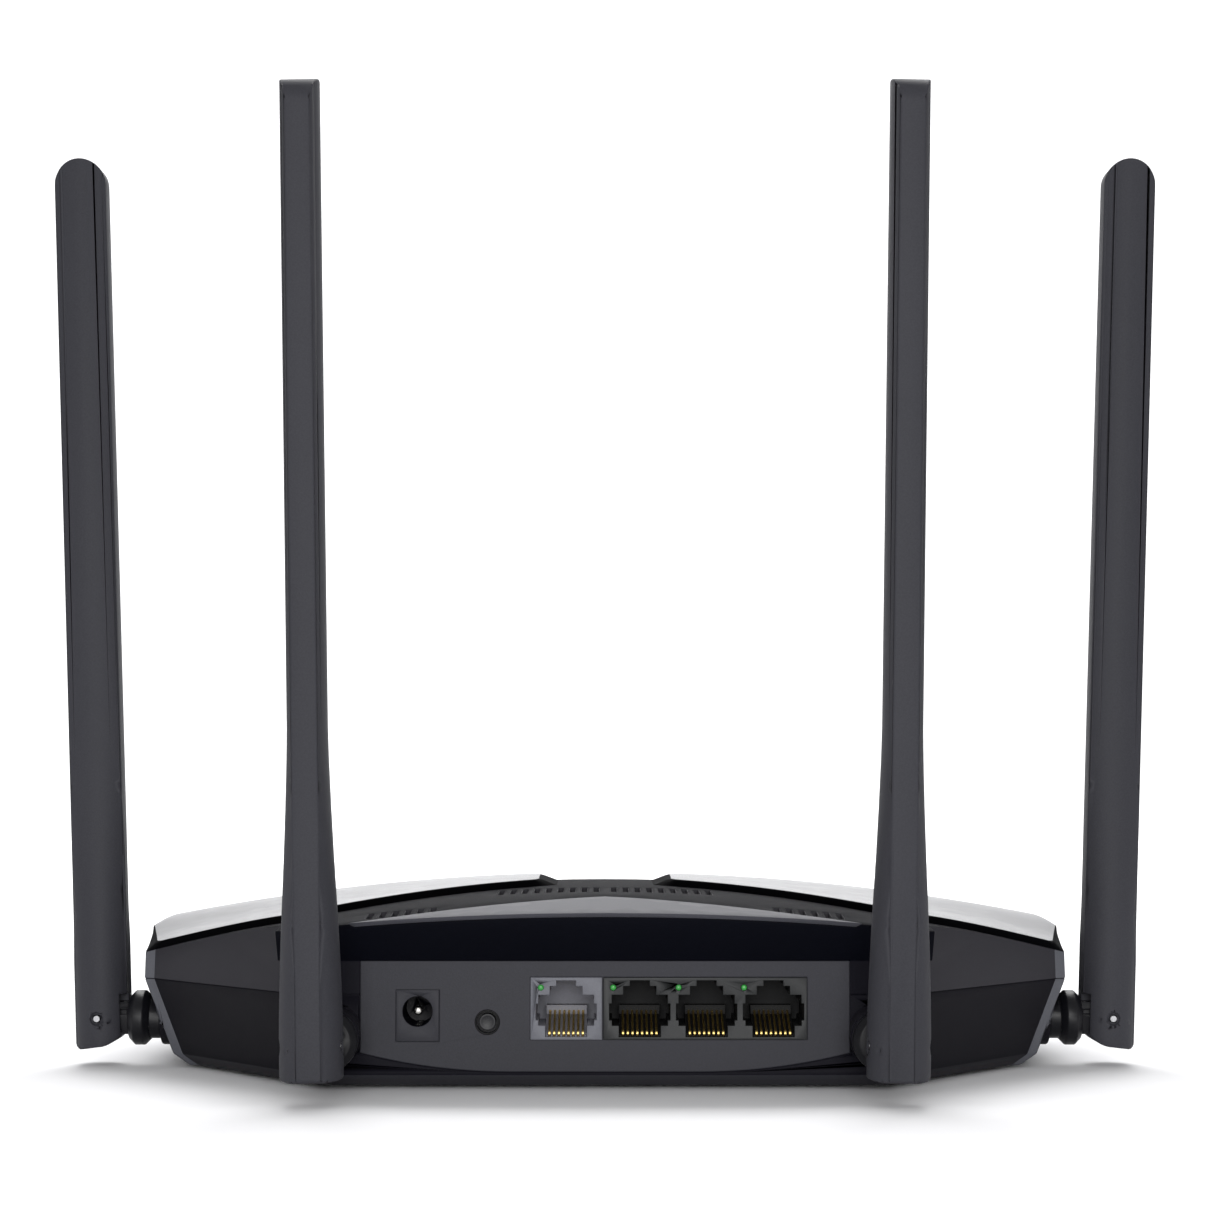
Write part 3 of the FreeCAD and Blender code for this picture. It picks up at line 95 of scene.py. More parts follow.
bpy.context.collection.objects.link(paper_sweep)

# White background paper: matte, with a very faint fibre mottle.
paper, tree = new_material("white_paper")
place = add_node(tree, "ShaderNodeTexCoord")
fibre = add_node(tree, "ShaderNodeTexNoise", {"Scale": 40.0, "Detail": 4.0},
                 {"Vector": place.outputs["Object"]})
tint = add_node(tree, "ShaderNodeMix", {"data_type": "RGBA", 6: linear("#EDEDEF"), 7: linear("#F4F4F5")},
                {0: fibre.outputs["Fac"]})
shader = add_node(tree, "ShaderNodeBsdfPrincipled", {"Roughness": 0.95, "Specular IOR Level": 0.1},
                  {"Base Color": tint.outputs[2]})
add_node(tree, "ShaderNodeOutputMaterial", links={"Surface": shader.outputs[0]})
sweep_mesh.materials.append(paper)

world = bpy.data.worlds.new("white_studio")
world.use_nodes = True
background = world.node_tree.nodes["Background"]
background.inputs["Color"].default_value = (1.0, 1.0, 1.0, 1.0)
background.inputs["Strength"].default_value = 0.55
bpy.context.scene.world = world


def soft_box(name, where, aim, size, power):
    """A square area light that points at a place."""
    lamp = bpy.data.lights.new(name, "AREA")
    lamp.size = size
    lamp.energy = power
    holder = bpy.data.objects.new(name, lamp)
    bpy.context.collection.objects.link(holder)
    holder.location = where
    holder.rotation_euler = (Vector(aim) - Vector(where)).to_track_quat("-Z", "Y").to_euler()


soft_box("overhead_box", (0.0, 1.0, 1.25), (0.0, 0.0, 0.0), 1.2, 15.5)
soft_box("port_side_box", (0.0, -1.6, 0.28), (0.0, 0.0, 0.05), 0.8, 17.0)
soft_box("sweep_box", (0.0, 1.4, 1.9), (0.0, 2.4, 0.2), 2.0, 60.0)

CAMERA_PLACE = (0.0, -0.600, 0.0715)
CAMERA_TILT = math.radians(90 + 3.42)
CAMERA_LENS = 74.7
camera = bpy.data.objects.new("camera", bpy.data.cameras.new("camera"))
camera.data.lens = CAMERA_LENS
camera.data.sensor_width = 36.0
camera.location = CAMERA_PLACE
camera.rotation_euler = (CAMERA_TILT, 0.0, 0.0)
bpy.context.collection.objects.link(camera)
bpy.context.scene.camera = camera
bpy.context.scene.view_settings.view_transform = "Standard"


# ---- Lower case shell ---------------------------------------------------------------------
# The tapered tub of black ABS that carries the board and the four hinge bearings. It is
# injection moulded with a fine spark-eroded texture, and its corners have small radii.

def moulded(name, base, pale, grain, depth, rough, level, mottle=60.0):
    """Moulded plastic: pits of the grain size in the surface, a slight change of tone and gloss.

    The bump is fine noise times depth; roughness runs from rough[0] to rough[1] over larger noise.
    """
    material, tree = new_material(name)
    place = add_node(tree, "ShaderNodeTexCoord")
    fine = {"Scale": 1.0 / (grain * MM), "Detail": 2.0, "Roughness": 0.6}
    pits = add_node(tree, "ShaderNodeTexNoise", fine, {"Vector": place.outputs["Object"]})
    flow = add_node(tree, "ShaderNodeTexNoise", {"Scale": 1.0 / (mottle * MM), "Detail": 3.0},
                    {"Vector": place.outputs["Object"]})
    speckle = add_node(tree, "ShaderNodeMapRange", {"From Min": 0.3, "From Max": 0.7},
                       {"Value": pits.outputs["Fac"]})
    blend = add_node(tree, "ShaderNodeMath", {"operation": "MULTIPLY_ADD", 1: 0.55},
                     {0: speckle.outputs[0], 2: flow.outputs["Fac"]})
    tone = add_node(tree, "ShaderNodeMapRange", {"From Min": 0.3, "From Max": 1.25},
                    {"Value": blend.outputs[0]})
    tint = add_node(tree, "ShaderNodeMix", {"data_type": "RGBA", 6: linear(base), 7: linear(pale)},
                    {0: tone.outputs[0]})
    gloss = add_node(tree, "ShaderNodeMapRange", {"To Min": rough[0], "To Max": rough[1]},
                     {"Value": blend.outputs[0]})
    bump = add_node(tree, "ShaderNodeBump", {"Strength": 1.0, "Distance": depth * MM},
                    {"Height": pits.outputs["Fac"]})
    linked = {"Base Color": tint.outputs[2], "Roughness": gloss.outputs[0], "Normal": bump.outputs[0]}
    shader = add_node(tree, "ShaderNodeBsdfPrincipled", {"IOR": 1.53, "Specular IOR Level": level}, linked)
    add_node(tree, "ShaderNodeOutputMaterial", links={"Surface": shader.outputs[0]})
    return material


MERGE_GAP = 0.002
SAME_PLANE = 0.1
MOST_SIDES = 4


def number_faces(mesh, pick):
    """Give each face the material number that pick finds from its middle and its normal."""
    centres = np.empty(len(mesh.polygons) * 3)
    normals = np.empty(len(mesh.polygons) * 3)
    mesh.polygons.foreach_get("center", centres)
    mesh.polygons.foreach_get("normal", normals)
    numbers = pick(centres.reshape(-1, 3) / MM, normals.reshape(-1, 3)).astype(np.int32)
    mesh.polygons.foreach_set("material_index", numbers)


def softened(node, radius, body, materials, steps=2, angle=28.0, pick=None, flat=False):
    """A merged copy of a CAD part whose sharp edges are rounded, which then stands for it.

    pick(centres, normals) gives each face's number in the list of materials, and flat keeps
    every face's own normal, for a plate whose face has to reflect evenly.
    """
    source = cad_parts[node]
    mesh = source.data.copy()
    mesh.materials.clear()
    work = bmesh.new()
    work.from_mesh(mesh)
    bmesh.ops.remove_doubles(work, verts=work.verts, dist=MERGE_GAP * MM)
    same_plane = math.radians(SAME_PLANE)
    bmesh.ops.dissolve_limit(work, angle_limit=same_plane, verts=work.verts, edges=work.edges)
    many_sided = [face for face in work.faces if len(face.verts) > MOST_SIDES]
    bmesh.ops.triangulate(work, faces=many_sided, ngon_method="EAR_CLIP")
    work.to_mesh(mesh)
    work.free()
    if flat:
        mesh.shade_flat()
    else:
        mesh.shade_smooth()
    for material in materials:
        mesh.materials.append(material)
    if pick:
        number_faces(mesh, pick)
    piece = bpy.data.objects.new(f"{node}_finished", mesh)
    bpy.context.collection.objects.link(piece)
    edge = piece.modifiers.new("edge_radius", "BEVEL")
    edge.width = radius * MM
    edge.segments = steps
    edge.limit_method = "ANGLE"
    edge.angle_limit = math.radians(angle)
    edge.use_clamp_overlap = False
    edge.harden_normals = not flat
    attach(piece, body)
    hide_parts(node)
    return piece


tub_black = moulded("spark_textured_abs", "#17161B", "#1D1C22", 0.35, 0.02, (0.5, 0.62), 0.15)
# The leaning lower sides get a darker copy of the same plastic: painted shade on faces that turn down.
tub_painted_shade_under = moulded("spark_textured_abs_painted_shade_under", "#0B0A0F", "#100F15", 0.35, 0.02, (0.5, 0.62), 0.1)
# The narrow corner bands of both shells get a lighter grey copy of the plastic: a painted highlight on
# facets that face the light.
band_painted_highlight = moulded("abs_corner_band_painted_highlight", "#45464C", "#4E4F55", 0.35, 0.01, (0.35, 0.45), 0.3)
# The back walls of both shells get a near-black copy of the plastic: painted shade under the overhanging
# lip.
back_painted_shade = moulded("spark_textured_abs_back_painted_shade", "#0C0B13", "#100F17", 0.35, 0.02, (0.5, 0.62), 0.08)
# The low back faces at the foot get a lighter copy of the same plastic: painted light.
foot_painted_light = moulded("spark_textured_abs_foot_painted_light", "#27272C", "#2E2E34", 0.35, 0.02, (0.5, 0.62), 0.2)


KNEE_LEVEL = 3.4
BAND_HALF = 85.0
BAND_BACK = -22.0
BAND_FRONT = -21.0
BACK_PLACE = -58.0
BACK_FOOT_PLACE = -54.0
FACES_BACK = -0.95


def on_band(centres):
    """The narrow upright faces at the rear corners, outside the hinge bearings."""
    along = centres[:, 1]
    return (np.abs(centres[:, 0]) > BAND_HALF) & (along > BAND_BACK) & (along < BAND_FRONT)


def tub_faces(centres, normals):
    """Number 1 for the leaning sides (painted shade), 2 for the corner bands (painted highlight), 3 for
    the back (painted shade), 4 for its foot (painted light).
    """
    numbers = np.zeros(len(centres), dtype=int)
    leaning = (normals[:, 2] < -0.05) & (centres[:, 2] > KNEE_LEVEL - 0.1)
    foot = (normals[:, 1] < -0.3) & (centres[:, 1] < BACK_FOOT_PLACE) & (centres[:, 2] < KNEE_LEVEL)
    numbers[leaning] = 1
    numbers[on_band(centres)] = 2
    numbers[(normals[:, 1] < FACES_BACK) & (centres[:, 1] < BACK_PLACE)] = 3
    numbers[foot] = 4
    return numbers


TUB_FINISHES = [tub_black, tub_painted_shade_under, band_painted_highlight, back_painted_shade, foot_painted_light]
softened("bottom_shell", 0.35, "case", TUB_FINISHES, angle=18.0, pick=tub_faces)


# ---- Upper case shell ---------------------------------------------------------------------
# The crowned deck with its rows of vents and its overhanging rear lip, in the same black
# ABS. It snaps onto the tub at the parting line and four screws hold it from below.

deck_black = moulded("spark_textured_abs_deck", "#0C0C10", "#121216", 0.35, 0.02, (0.6, 0.72), 0.02)
# The upright sides get a lighter copy of the deck plastic: painted light.
upright_painted_light = moulded("spark_textured_abs_upright_painted_light", "#222126", "#29282D", 0.35, 0.02, (0.5, 0.62), 0.2)
# The lip's underside gets a near-black copy of the plastic: painted shade on faces that turn down.
lip_painted_shade = moulded("spark_textured_abs_lip_painted_shade", "#05060C", "#080911", 0.35, 0.015, (0.45, 0.55), 0.04)
LIP_PLACE = -57.0


def cap_faces(centres, normals):
    """Number 1 for upright sides (painted light), 2 for the lip's underside (painted shade), 3 for corner
    bands (painted highlight), 4 for the back (painted shade).
    """
    numbers = np.zeros(len(centres), dtype=int)
    numbers[np.abs(normals[:, 2]) < 0.2] = 1
    numbers[(normals[:, 2] < -0.3) & (centres[:, 1] < LIP_PLACE)] = 2
    numbers[on_band(centres)] = 3
    numbers[(normals[:, 1] < FACES_BACK) & (centres[:, 1] < BACK_PLACE)] = 4
    return numbers


CAP_FINISHES = [deck_black, upright_painted_light, lip_painted_shade, band_painted_highlight, back_painted_shade]
softened("top_shell", 0.25, "case", CAP_FINISHES, angle=18.0, pick=cap_faces)


# ---- Wing panels --------------------------------------------------------------------------
# Two raised plates of high-gloss black polycarbonate, moulded separately and heat-staked
# to the deck. They follow its crown, and their rims have a small polished radius.

ROOF_STATIONS = np.array([
    (-82.0, 36.3, 620.0), (-66.0, 38.15, 600.0), (-47.0, 40.3, 440.0),
    (-20.0, 41.0, 390.0), (12.0, 40.95, 495.0), (60.0, 36.0, 480.0), (96.0, 25.5, 455.0),
])
WING_RISE = 1.7
WING_PLAN = np.array([
    (11.4, -2.9), (72.0, -41.5), (105.0, -20.5), (105.6, -18.9), (109.45, 12.0),
    (104.85, 46.0), (104.4, 46.4), (72.0, 65.5), (11.4, 20.5),
])
WING_SIDE_POINTS = 40
WING_CORNER_POINTS = 7
WING_CORNER = 0.8
WING_RIM = [(0.0, -1.7), (0.0, -0.55), (0.05, -0.33), (0.16, -0.16), (0.33, -0.05), (0.55, 0.0)]
WING_RINGS = 34
WING_SOLE_RINGS = 10
WING_MIDDLE = np.array([62.0, 12.0])
WING_CORNER_SLOPE = 2.6
WING_TIP_SLOPE = 4.2
WING_TIP_FROM = 16.5
WING_TIP_OVER = 5.1
WING_REAR_FROM = 101.5
WING_REAR_OVER = 3.5
WING_SIDE_FROM = 104.8
WING_SIDE_AHEAD = 12.0
WING_SIDE_OVER = 31.0
WING_REAR_PLACE = -19.0
SEAM_GAP = 0.0005


def roof_height(plan):
    """Height of the deck: at each X, the one polynomial in Y through the crowned stations.

    A station's height is its middle height less the sag of an arc of its radius.
    """
    across, along = plan[..., 0:1], plan[..., 1:2]
    places, middles, radii = ROOF_STATIONS.T
    heights = middles - radii + np.sqrt(radii ** 2 - across ** 2)
    gaps = places[:, None] - places[None, :] + np.eye(len(places))
    steps = (along[..., None, :] - places[None, :]) / gaps
    steps = np.where(np.eye(len(places), dtype=bool), 1.0, steps)
    return (heights * steps.prod(axis=-1)).sum(axis=-1)


def rounded_outline(corners, radius, side_points, corner_points):
    """A closed outline with each corner replaced by a parabola that touches both its sides."""
    before = np.roll(corners, 1, axis=0) - corners
    after = np.roll(corners, -1, axis=0) - corners
    before /= np.linalg.norm(before, axis=1, keepdims=True)
    after /= np.linalg.norm(after, axis=1, keepdims=True)
    half = np.arccos(np.clip((before * after).sum(axis=1), -1, 1)) / 2
    back = np.minimum(radius / np.tan(half), 0.45 * radius + 0.3)[:, None]
    first, last = corners + before * back, corners + after * back
    t = np.linspace(0, 1, corner_points)[None, :, None]
    bends = (1 - t) ** 2 * first[:, None] + 2 * t * (1 - t) * corners[:, None] + t ** 2 * last[:, None]
    t = np.linspace(0, 1, side_points + 2)[None, 1:-1, None]
    sides = last[:, None] * (1 - t) + np.roll(first, -1, axis=0)[:, None] * t
    return np.concatenate([bends, sides], axis=1).reshape(-1, 2)


def inward(outline):
    """Unit vectors square to the line between each point's two neighbours, to its left."""
    chord = np.roll(outline, -1, axis=0) - np.roll(outline, 1, axis=0)
    chord /= np.linalg.norm(chord, axis=1, keepdims=True)
    return np.stack([-chord[:, 1], chord[:, 0]], axis=1)


def surface_piece(name, grids, body, materials, nodes=(), crease=40.0, wrap=True, pick=None):
    """One mesh from grids of points in millimetres: each point joins its next column and next row.

    The last column joins the first where wrap is set, and rows that shrink to a point close it.
    """
    points, faces, start = [], [], 0
    for grid in grids:
        high, wide = grid.shape[:2]
        index = np.arange(high * wide).reshape(high, wide) + start
        beside = np.roll(index, -1, axis=1) if wrap else index[:, 1:]
        index = index if wrap else index[:, :-1]
        faces.append(np.stack([index[:-1], beside[:-1], beside[1:], index[1:]], axis=-1).reshape(-1, 4))
        points.append(grid.reshape(-1, 3) * MM)
        start += high * wide
    mesh = bpy.data.meshes.new(name)
    mesh.from_pydata(np.concatenate(points).tolist(), [], np.concatenate(faces).tolist())
    work = bmesh.new()
    work.from_mesh(mesh)
    bmesh.ops.remove_doubles(work, verts=work.verts, dist=SEAM_GAP * MM)
    bmesh.ops.recalc_face_normals(work, faces=work.faces)
    work.to_mesh(mesh)
    work.free()
    mesh.shade_smooth()
    mesh.set_sharp_from_angle(angle=math.radians(crease))
    for material in materials:
        mesh.materials.append(material)
    if pick:
        number_faces(mesh, pick)
    piece = bpy.data.objects.new(name, mesh)
    bpy.context.collection.objects.link(piece)
    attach(piece, body)
    if nodes:
        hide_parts(*nodes)
    return piece


# Polished polycarbonate: near black, mirror-like, with the faint haze that handling leaves.
wing_gloss = moulded("polished_polycarbonate", "#060609", "#0A0A0F", 6.0, 0.0004, (0.16, 0.22), 0.2, 45.0)
wing_edge = moulded("polycarbonate_edge", "#030304", "#060608", 0.5, 0.002, (0.6, 0.7), 0.01)


def wing_slope(outline):
    """How far the top of the rim is set back: most at the outer rear corner and at the inner end.

    At the corner it grows over the last 3.5 mm of the rear edge and shrinks along the side.
    """
    across, along = outline.T
    behind = along < WING_REAR_PLACE
    rear = np.clip((across - WING_REAR_FROM) / WING_REAR_OVER, 0, 1) * behind
    side = np.clip((WING_SIDE_AHEAD - along) / WING_SIDE_OVER, 0, 1) * (across > WING_SIDE_FROM) * ~behind
    tip = np.clip((WING_TIP_FROM - across) / WING_TIP_OVER, 0, 1)
    return np.maximum(rear, side) * WING_CORNER_SLOPE + tip * WING_TIP_SLOPE


def wing_faces(centres, normals):
    """Number 1 for all below the polished top."""
    plan = np.column_stack([np.abs(centres[:, 0]), centres[:, 1]])
    return (centres[:, 2] < roof_height(plan) + WING_RISE - 0.1).astype(int)


wing_outline = rounded_outline(WING_PLAN, WING_CORNER, WING_SIDE_POINTS, WING_CORNER_POINTS)
wing_inward = inward(wing_outline)
wing_centred = WING_MIDDLE - wing_outline
wing_centred /= np.linalg.norm(wing_centred, axis=1, keepdims=True)
wing_set_back = wing_slope(wing_outline)[:, None]
wing_rows = []
for share in np.linspace(0, 1, WING_SOLE_RINGS)[:-1]:
    plan = WING_MIDDLE + (wing_outline - WING_MIDDLE) * share
    wing_rows.append(np.column_stack([plan, roof_height(plan)]))
for inset, drop in WING_RIM:
    lean = 1 + drop / WING_RISE
    plan = wing_outline + wing_inward * inset + wing_centred * wing_set_back * lean
    wing_rows.append(np.column_stack([plan, roof_height(plan) + WING_RISE + drop]))
inner_ring = plan
for share in np.linspace(1, 0, WING_RINGS)[1:]:
    plan = WING_MIDDLE + (inner_ring - WING_MIDDLE) * share
    wing_rows.append(np.column_stack([plan, roof_height(plan) + WING_RISE]))
wing_grid = np.stack(wing_rows)
for side, label in ((1, "right_wing"), (-1, "left_wing")):
    surface_piece(f"{label}_finished", [wing_grid * (side, 1, 1)], "case",
                  [wing_gloss, wing_edge], [label], pick=wing_faces)


# ---- Rear trim ----------------------------------------------------------------------------
# A crescent of satin grey ABS pressed into a shallow seat along the rear lip, where it
# catches the light as one pale sweep.

trim_satin = moulded("satin_grey_abs", "#3A3A40", "#424248", 0.3, 0.008, (0.45, 0.55), 0.11)
softened("rear_trim", 0.15, "case", [trim_satin])


# ---- Port panel ---------------------------------------------------------------------------
# The flat back plate, moulded in grey ABS with a fine texture and fitted from inside. A
# narrow shadow gap runs round it, and its face carries no lettering.

panel_grey = moulded("fine_textured_grey_abs", "#2C2C31", "#34343A", 0.35, 0.02, (0.5, 0.62), 0.2)
softened("port_panel", 0.2, "case", [panel_grey], flat=True)


# ---- Network sockets ----------------------------------------------------------------------
# Moulded jack housings of glass-filled PBT soldered to the board: one pale grey, and a
# black bank of three. Each mouth has the usual stepped outline for a modular plug.

socket_pale = moulded("pale_glass_filled_pbt", "#5F6067", "#6A6B72", 0.5, 0.01, (0.45, 0.55), 0.3)
# Inside the pale socket's mouth, and on its comb, the same PBT gets a lighter tone than on its face:
# painted light in the shaded mouth.
socket_pale_painted_light_inside = moulded(
    "pale_glass_filled_pbt_painted_light_inside", "#6E6E75", "#7A7A82", 0.5, 0.01, (0.5, 0.6), 0.3)
# The black bank is two tones of one PBT: the darker tone inside the mouths and on the comb is painted
# shade, the lighter is its face.
socket_black_painted_shade_inside = moulded("black_glass_filled_pbt", "#111112", "#171718", 0.5, 0.01, (0.5, 0.6), 0.15)
socket_face = moulded("black_glass_filled_pbt_face", "#232425", "#2A2B2C", 0.5, 0.01, (0.4, 0.5), 0.25)


def front_or_inside(centres, normals):
    """The outer face and its edge first, then everything inside the mouths."""
    numbers = np.ones(len(centres), dtype=int)
    numbers[(normals[:, 1] < -0.9) & (centres[:, 1] < -59.5)] = 0
    return numbers


softened("wan_socket", 0.12, "case", [socket_pale, socket_pale_painted_light_inside],
         pick=front_or_inside)
softened("lan_socket_bank", 0.12, "case", [socket_face, socket_black_painted_shade_inside],
         pick=front_or_inside)


# ---- Socket contacts ----------------------------------------------------------------------
# Eight sprung wires of gold-plated phosphor bronze in each socket, 1.02 mm apart. Each
# turns up out of the comb at the mouth's floor and slopes back to a rounded free end.

SOCKET_AXES = {"wan_socket": [-8.3], "lan_socket_bank": [7.42, 21.69, 35.96]}
CONTACT_PITCH = 1.02
CONTACTS = 8
CONTACT_WIDE = 0.5
CONTACT_THICK = 0.22
CONTACT_LINE = np.array([
    (-59.0, 11.62), (-59.35, 11.8), (-59.5, 12.1), (-59.42, 12.42), (-59.15, 12.68), (-58.4, 12.98),
    (-56.6, 13.7), (-54.2, 14.66), (-52.0, 15.54), (-50.2, 16.22), (-49.3, 16.42), (-48.6, 16.3),
])
CONTACT_ROUND = 10
CARRIER_WIDE = 8.8
CARRIER_SIDE = np.array([
    (-58.8, 11.55), (-58.8, 12.1), (-54.0, 14.0), (-50.4, 15.4), (-50.4, 17.3), (-47.6, 17.3),
    (-47.6, 11.55),
])
RIB_WIDE = 0.3
RIB_SIDE = np.array([
    (-59.6, 11.55), (-59.6, 11.75), (-58.9, 12.05), (-51.0, 15.2), (-50.5, 15.2), (-50.5, 11.55),
])
CARRIER_FINISHES = {
    "wan_socket": (socket_pale_painted_light_inside, "socket_light"),
    "lan_socket_bank": (socket_black_painted_shade_inside, "socket_dark"),
}


def strand(line, across, wide, thick, count):
    """A wire of rounded section along a line in the YZ plane, at a place across.

    Each ring is a superellipse: the cosine and the sine of its angle, to the power of one half.
    """
    ahead = np.gradient(line, axis=0)
    ahead /= np.linalg.norm(ahead, axis=1, keepdims=True)
    up = np.stack([-ahead[:, 1], ahead[:, 0]], axis=1)
    angle = np.linspace(0, 2 * math.pi, count, endpoint=False)
    side = np.sign(np.cos(angle)) * np.sqrt(np.abs(np.cos(angle))) * wide / 2
    lift = np.sign(np.sin(angle)) * np.sqrt(np.abs(np.sin(angle))) * thick / 2
    size = np.ones(len(line) + 2)
    size[[0, -1]] = 0.0
    spine = np.concatenate([line[:1], line, line[-1:]])
    up = np.concatenate([up[:1], up, up[-1:]])
    grid = np.empty((len(spine), count, 3))
    grid[..., 0] = across + side * size[:, None]
    grid[..., 1] = spine[:, :1] + up[:, :1] * lift * size[:, None]
    grid[..., 2] = spine[:, 1:] + up[:, 1:] * lift * size[:, None]
    return grid


def extruded(outline, across, wide):
    """A closed outline in the YZ plane drawn out along X, its ends shrunk to their middles."""
    middle = np.broadcast_to(outline.mean(axis=0), outline.shape)
    grid = np.empty((4, len(outline), 3))
    grid[..., 0] = across + np.array([-0.5, -0.5, 0.5, 0.5])[:, None] * wide
    grid[..., 1:] = np.stack([middle, outline, outline, middle])
    return grid


def plated(name, base, pale, rough, brushing):
    """Plated or bare metal: its colour, and a roughness that varies over fine drawing marks."""
    material, tree = new_material(name)
    place = add_node(tree, "ShaderNodeTexCoord")
    marks = add_node(tree, "ShaderNodeTexNoise", {"Scale": 1.0 / (brushing * MM), "Detail": 3.0},
                     {"Vector": place.outputs["Object"]})
    tint = add_node(tree, "ShaderNodeMix", {"data_type": "RGBA", 6: linear(base), 7: linear(pale)},
                    {0: marks.outputs["Fac"]})
    gloss = add_node(tree, "ShaderNodeMapRange", {"To Min": rough[0], "To Max": rough[1]},
                     {"Value": marks.outputs["Fac"]})
    shader = add_node(tree, "ShaderNodeBsdfPrincipled", {"Metallic": 1.0},
                      {"Base Color": tint.outputs[2], "Roughness": gloss.outputs[0]})
    add_node(tree, "ShaderNodeOutputMaterial", links={"Surface": shader.outputs[0]})
    return material


gold_plate = plated("gold_plated_bronze", "#DDB762", "#F3D88F", (0.3, 0.42), 0.6)
contact_offsets = (np.arange(CONTACTS) - (CONTACTS - 1) / 2) * CONTACT_PITCH
for block, axes in SOCKET_AXES.items():
    wires = [
        strand(CONTACT_LINE, axis + offset, CONTACT_WIDE, CONTACT_THICK, CONTACT_ROUND)
        for axis in axes for offset in contact_offsets
    ]
    surface_piece(f"{block}_contact_wires", wires, "case", [gold_plate],
                  [f"{block}_contacts"])
    carriers = [extruded(CARRIER_SIDE, axis, CARRIER_WIDE) for axis in axes]
    ribs = [
        extruded(RIB_SIDE, axis + offset, RIB_WIDE) for axis in axes
        for offset in (np.arange(CONTACTS + 1) - CONTACTS / 2) * CONTACT_PITCH
    ]
    finish, slot = CARRIER_FINISHES[block]
    surface_piece(f"{block}_contact_comb", carriers + ribs, "case", [finish])


# ---- Socket lamps -------------------------------------------------------------------------
# Four round light guides of green-tinted acrylic beside the sockets, domed where they
# stand in the housing's face. Each carries light from a small diode on the board.

LAMP_PLACES = [-13.7, 1.75, 15.72, 29.69]
LAMP_HEIGHT = 21.95
LAMP_FACE = -60.2
LAMP_PROFILE = np.array([
    (-0.2, 0.0), (-0.18, 0.25), (-0.12, 0.42), (0.0, 0.57), (0.15, 0.63), (5.8, 0.63), (5.8, 0.0),
])
ROUND_POINTS = 40


def turned(profile, centre, along, count=ROUND_POINTS):
    """A profile of (distance along, radius) turned about a line: points at equal angles."""
    along = np.array(along, dtype=float)
    along /= np.linalg.norm(along)
    helper = np.array([0.0, 0.0, 1.0]) if abs(along[2]) < 0.9 else np.array([1.0, 0.0, 0.0])
    first = np.cross(helper, along)
    first /= np.linalg.norm(first)
    second = np.cross(along, first)
    angle = np.linspace(0, 2 * math.pi, count, endpoint=False)
    spokes = np.cos(angle)[:, None] * first + np.sin(angle)[:, None] * second
    return np.array(centre) + profile[:, None, :1] * along + profile[:, None, 1:] * spokes


lamp_green, tree = new_material("green_acrylic_light_guide")
place = add_node(tree, "ShaderNodeTexCoord")
cloud = add_node(tree, "ShaderNodeTexNoise", {"Scale": 1.0 / (0.9 * MM)},
                 {"Vector": place.outputs["Object"]})
glow = add_node(tree, "ShaderNodeMix", {"data_type": "RGBA", 6: linear("#1F6E2A"), 7: linear("#3C9A45")},
                {0: cloud.outputs["Fac"]})
shader = add_node(tree, "ShaderNodeBsdfPrincipled",
                  {"Roughness": 0.2, "IOR": 1.49, "Emission Strength": 0.15},
                  {"Base Color": glow.outputs[2], "Emission Color": glow.outputs[2]})
add_node(tree, "ShaderNodeOutputMaterial", links={"Surface": shader.outputs[0]})
lamp_grids = [
    turned(LAMP_PROFILE, (across, LAMP_FACE, LAMP_HEIGHT), (0, 1, 0), 20) for across in LAMP_PLACES
]
surface_piece("socket_lamp_guides", lamp_grids, "case", [lamp_green], ["socket_lamps"])


# ---- Power inlet --------------------------------------------------------------------------
# A barrel jack: a square housing flush in the panel, a round mouth whose black is painted shade, a
# nickel centre pin with a rounded tip, and the side spring that grips the plug.

inlet_housing = moulded("grey_pbt_inlet", "#2B2B30", "#333339", 0.35, 0.015, (0.5, 0.6), 0.2)
# Every face inside the mouth gets a near-black copy of the housing plastic: painted shade in the bore.
inlet_mouth_painted_shade = moulded("inlet_pbt_painted_shade_mouth", "#040409", "#07070E", 0.5, 0.01, (0.4, 0.5), 0.15)
softened("power_inlet", 0.15, "case", [inlet_housing, inlet_mouth_painted_shade], pick=front_or_inside)

PIN_PROFILE = np.array([
    (0.0, 0.0), (0.03, 0.35), (0.14, 0.64), (0.34, 0.87), (0.62, 0.98), (0.9, 1.0), (8.8, 1.0), (8.8, 0.5),
    (12.3, 0.5), (12.3, 0.0),
])
nickel = plated("nickel_plated_brass", "#C6C4BF", "#DAD8D3", (0.16, 0.26), 0.8)
PIN_TIP = (-40.0, -59.0, 16.9)
pin_grid = turned(PIN_PROFILE, PIN_TIP, (0, 1, 0))
surface_piece("power_inlet_pin_turned", [pin_grid], "case", [nickel], ["power_inlet_pin"])
for material_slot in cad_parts["power_inlet_spring"].material_slots:
    material_slot.material = nickel


# ---- Reset button -------------------------------------------------------------------------
# A small round button of grey ABS in a turned-edge hole, pushed with a fingertip. A raised
# ring moulded round the hole keeps it from being pressed by accident; its near-black colour is
# painted shade of the gap round the button.

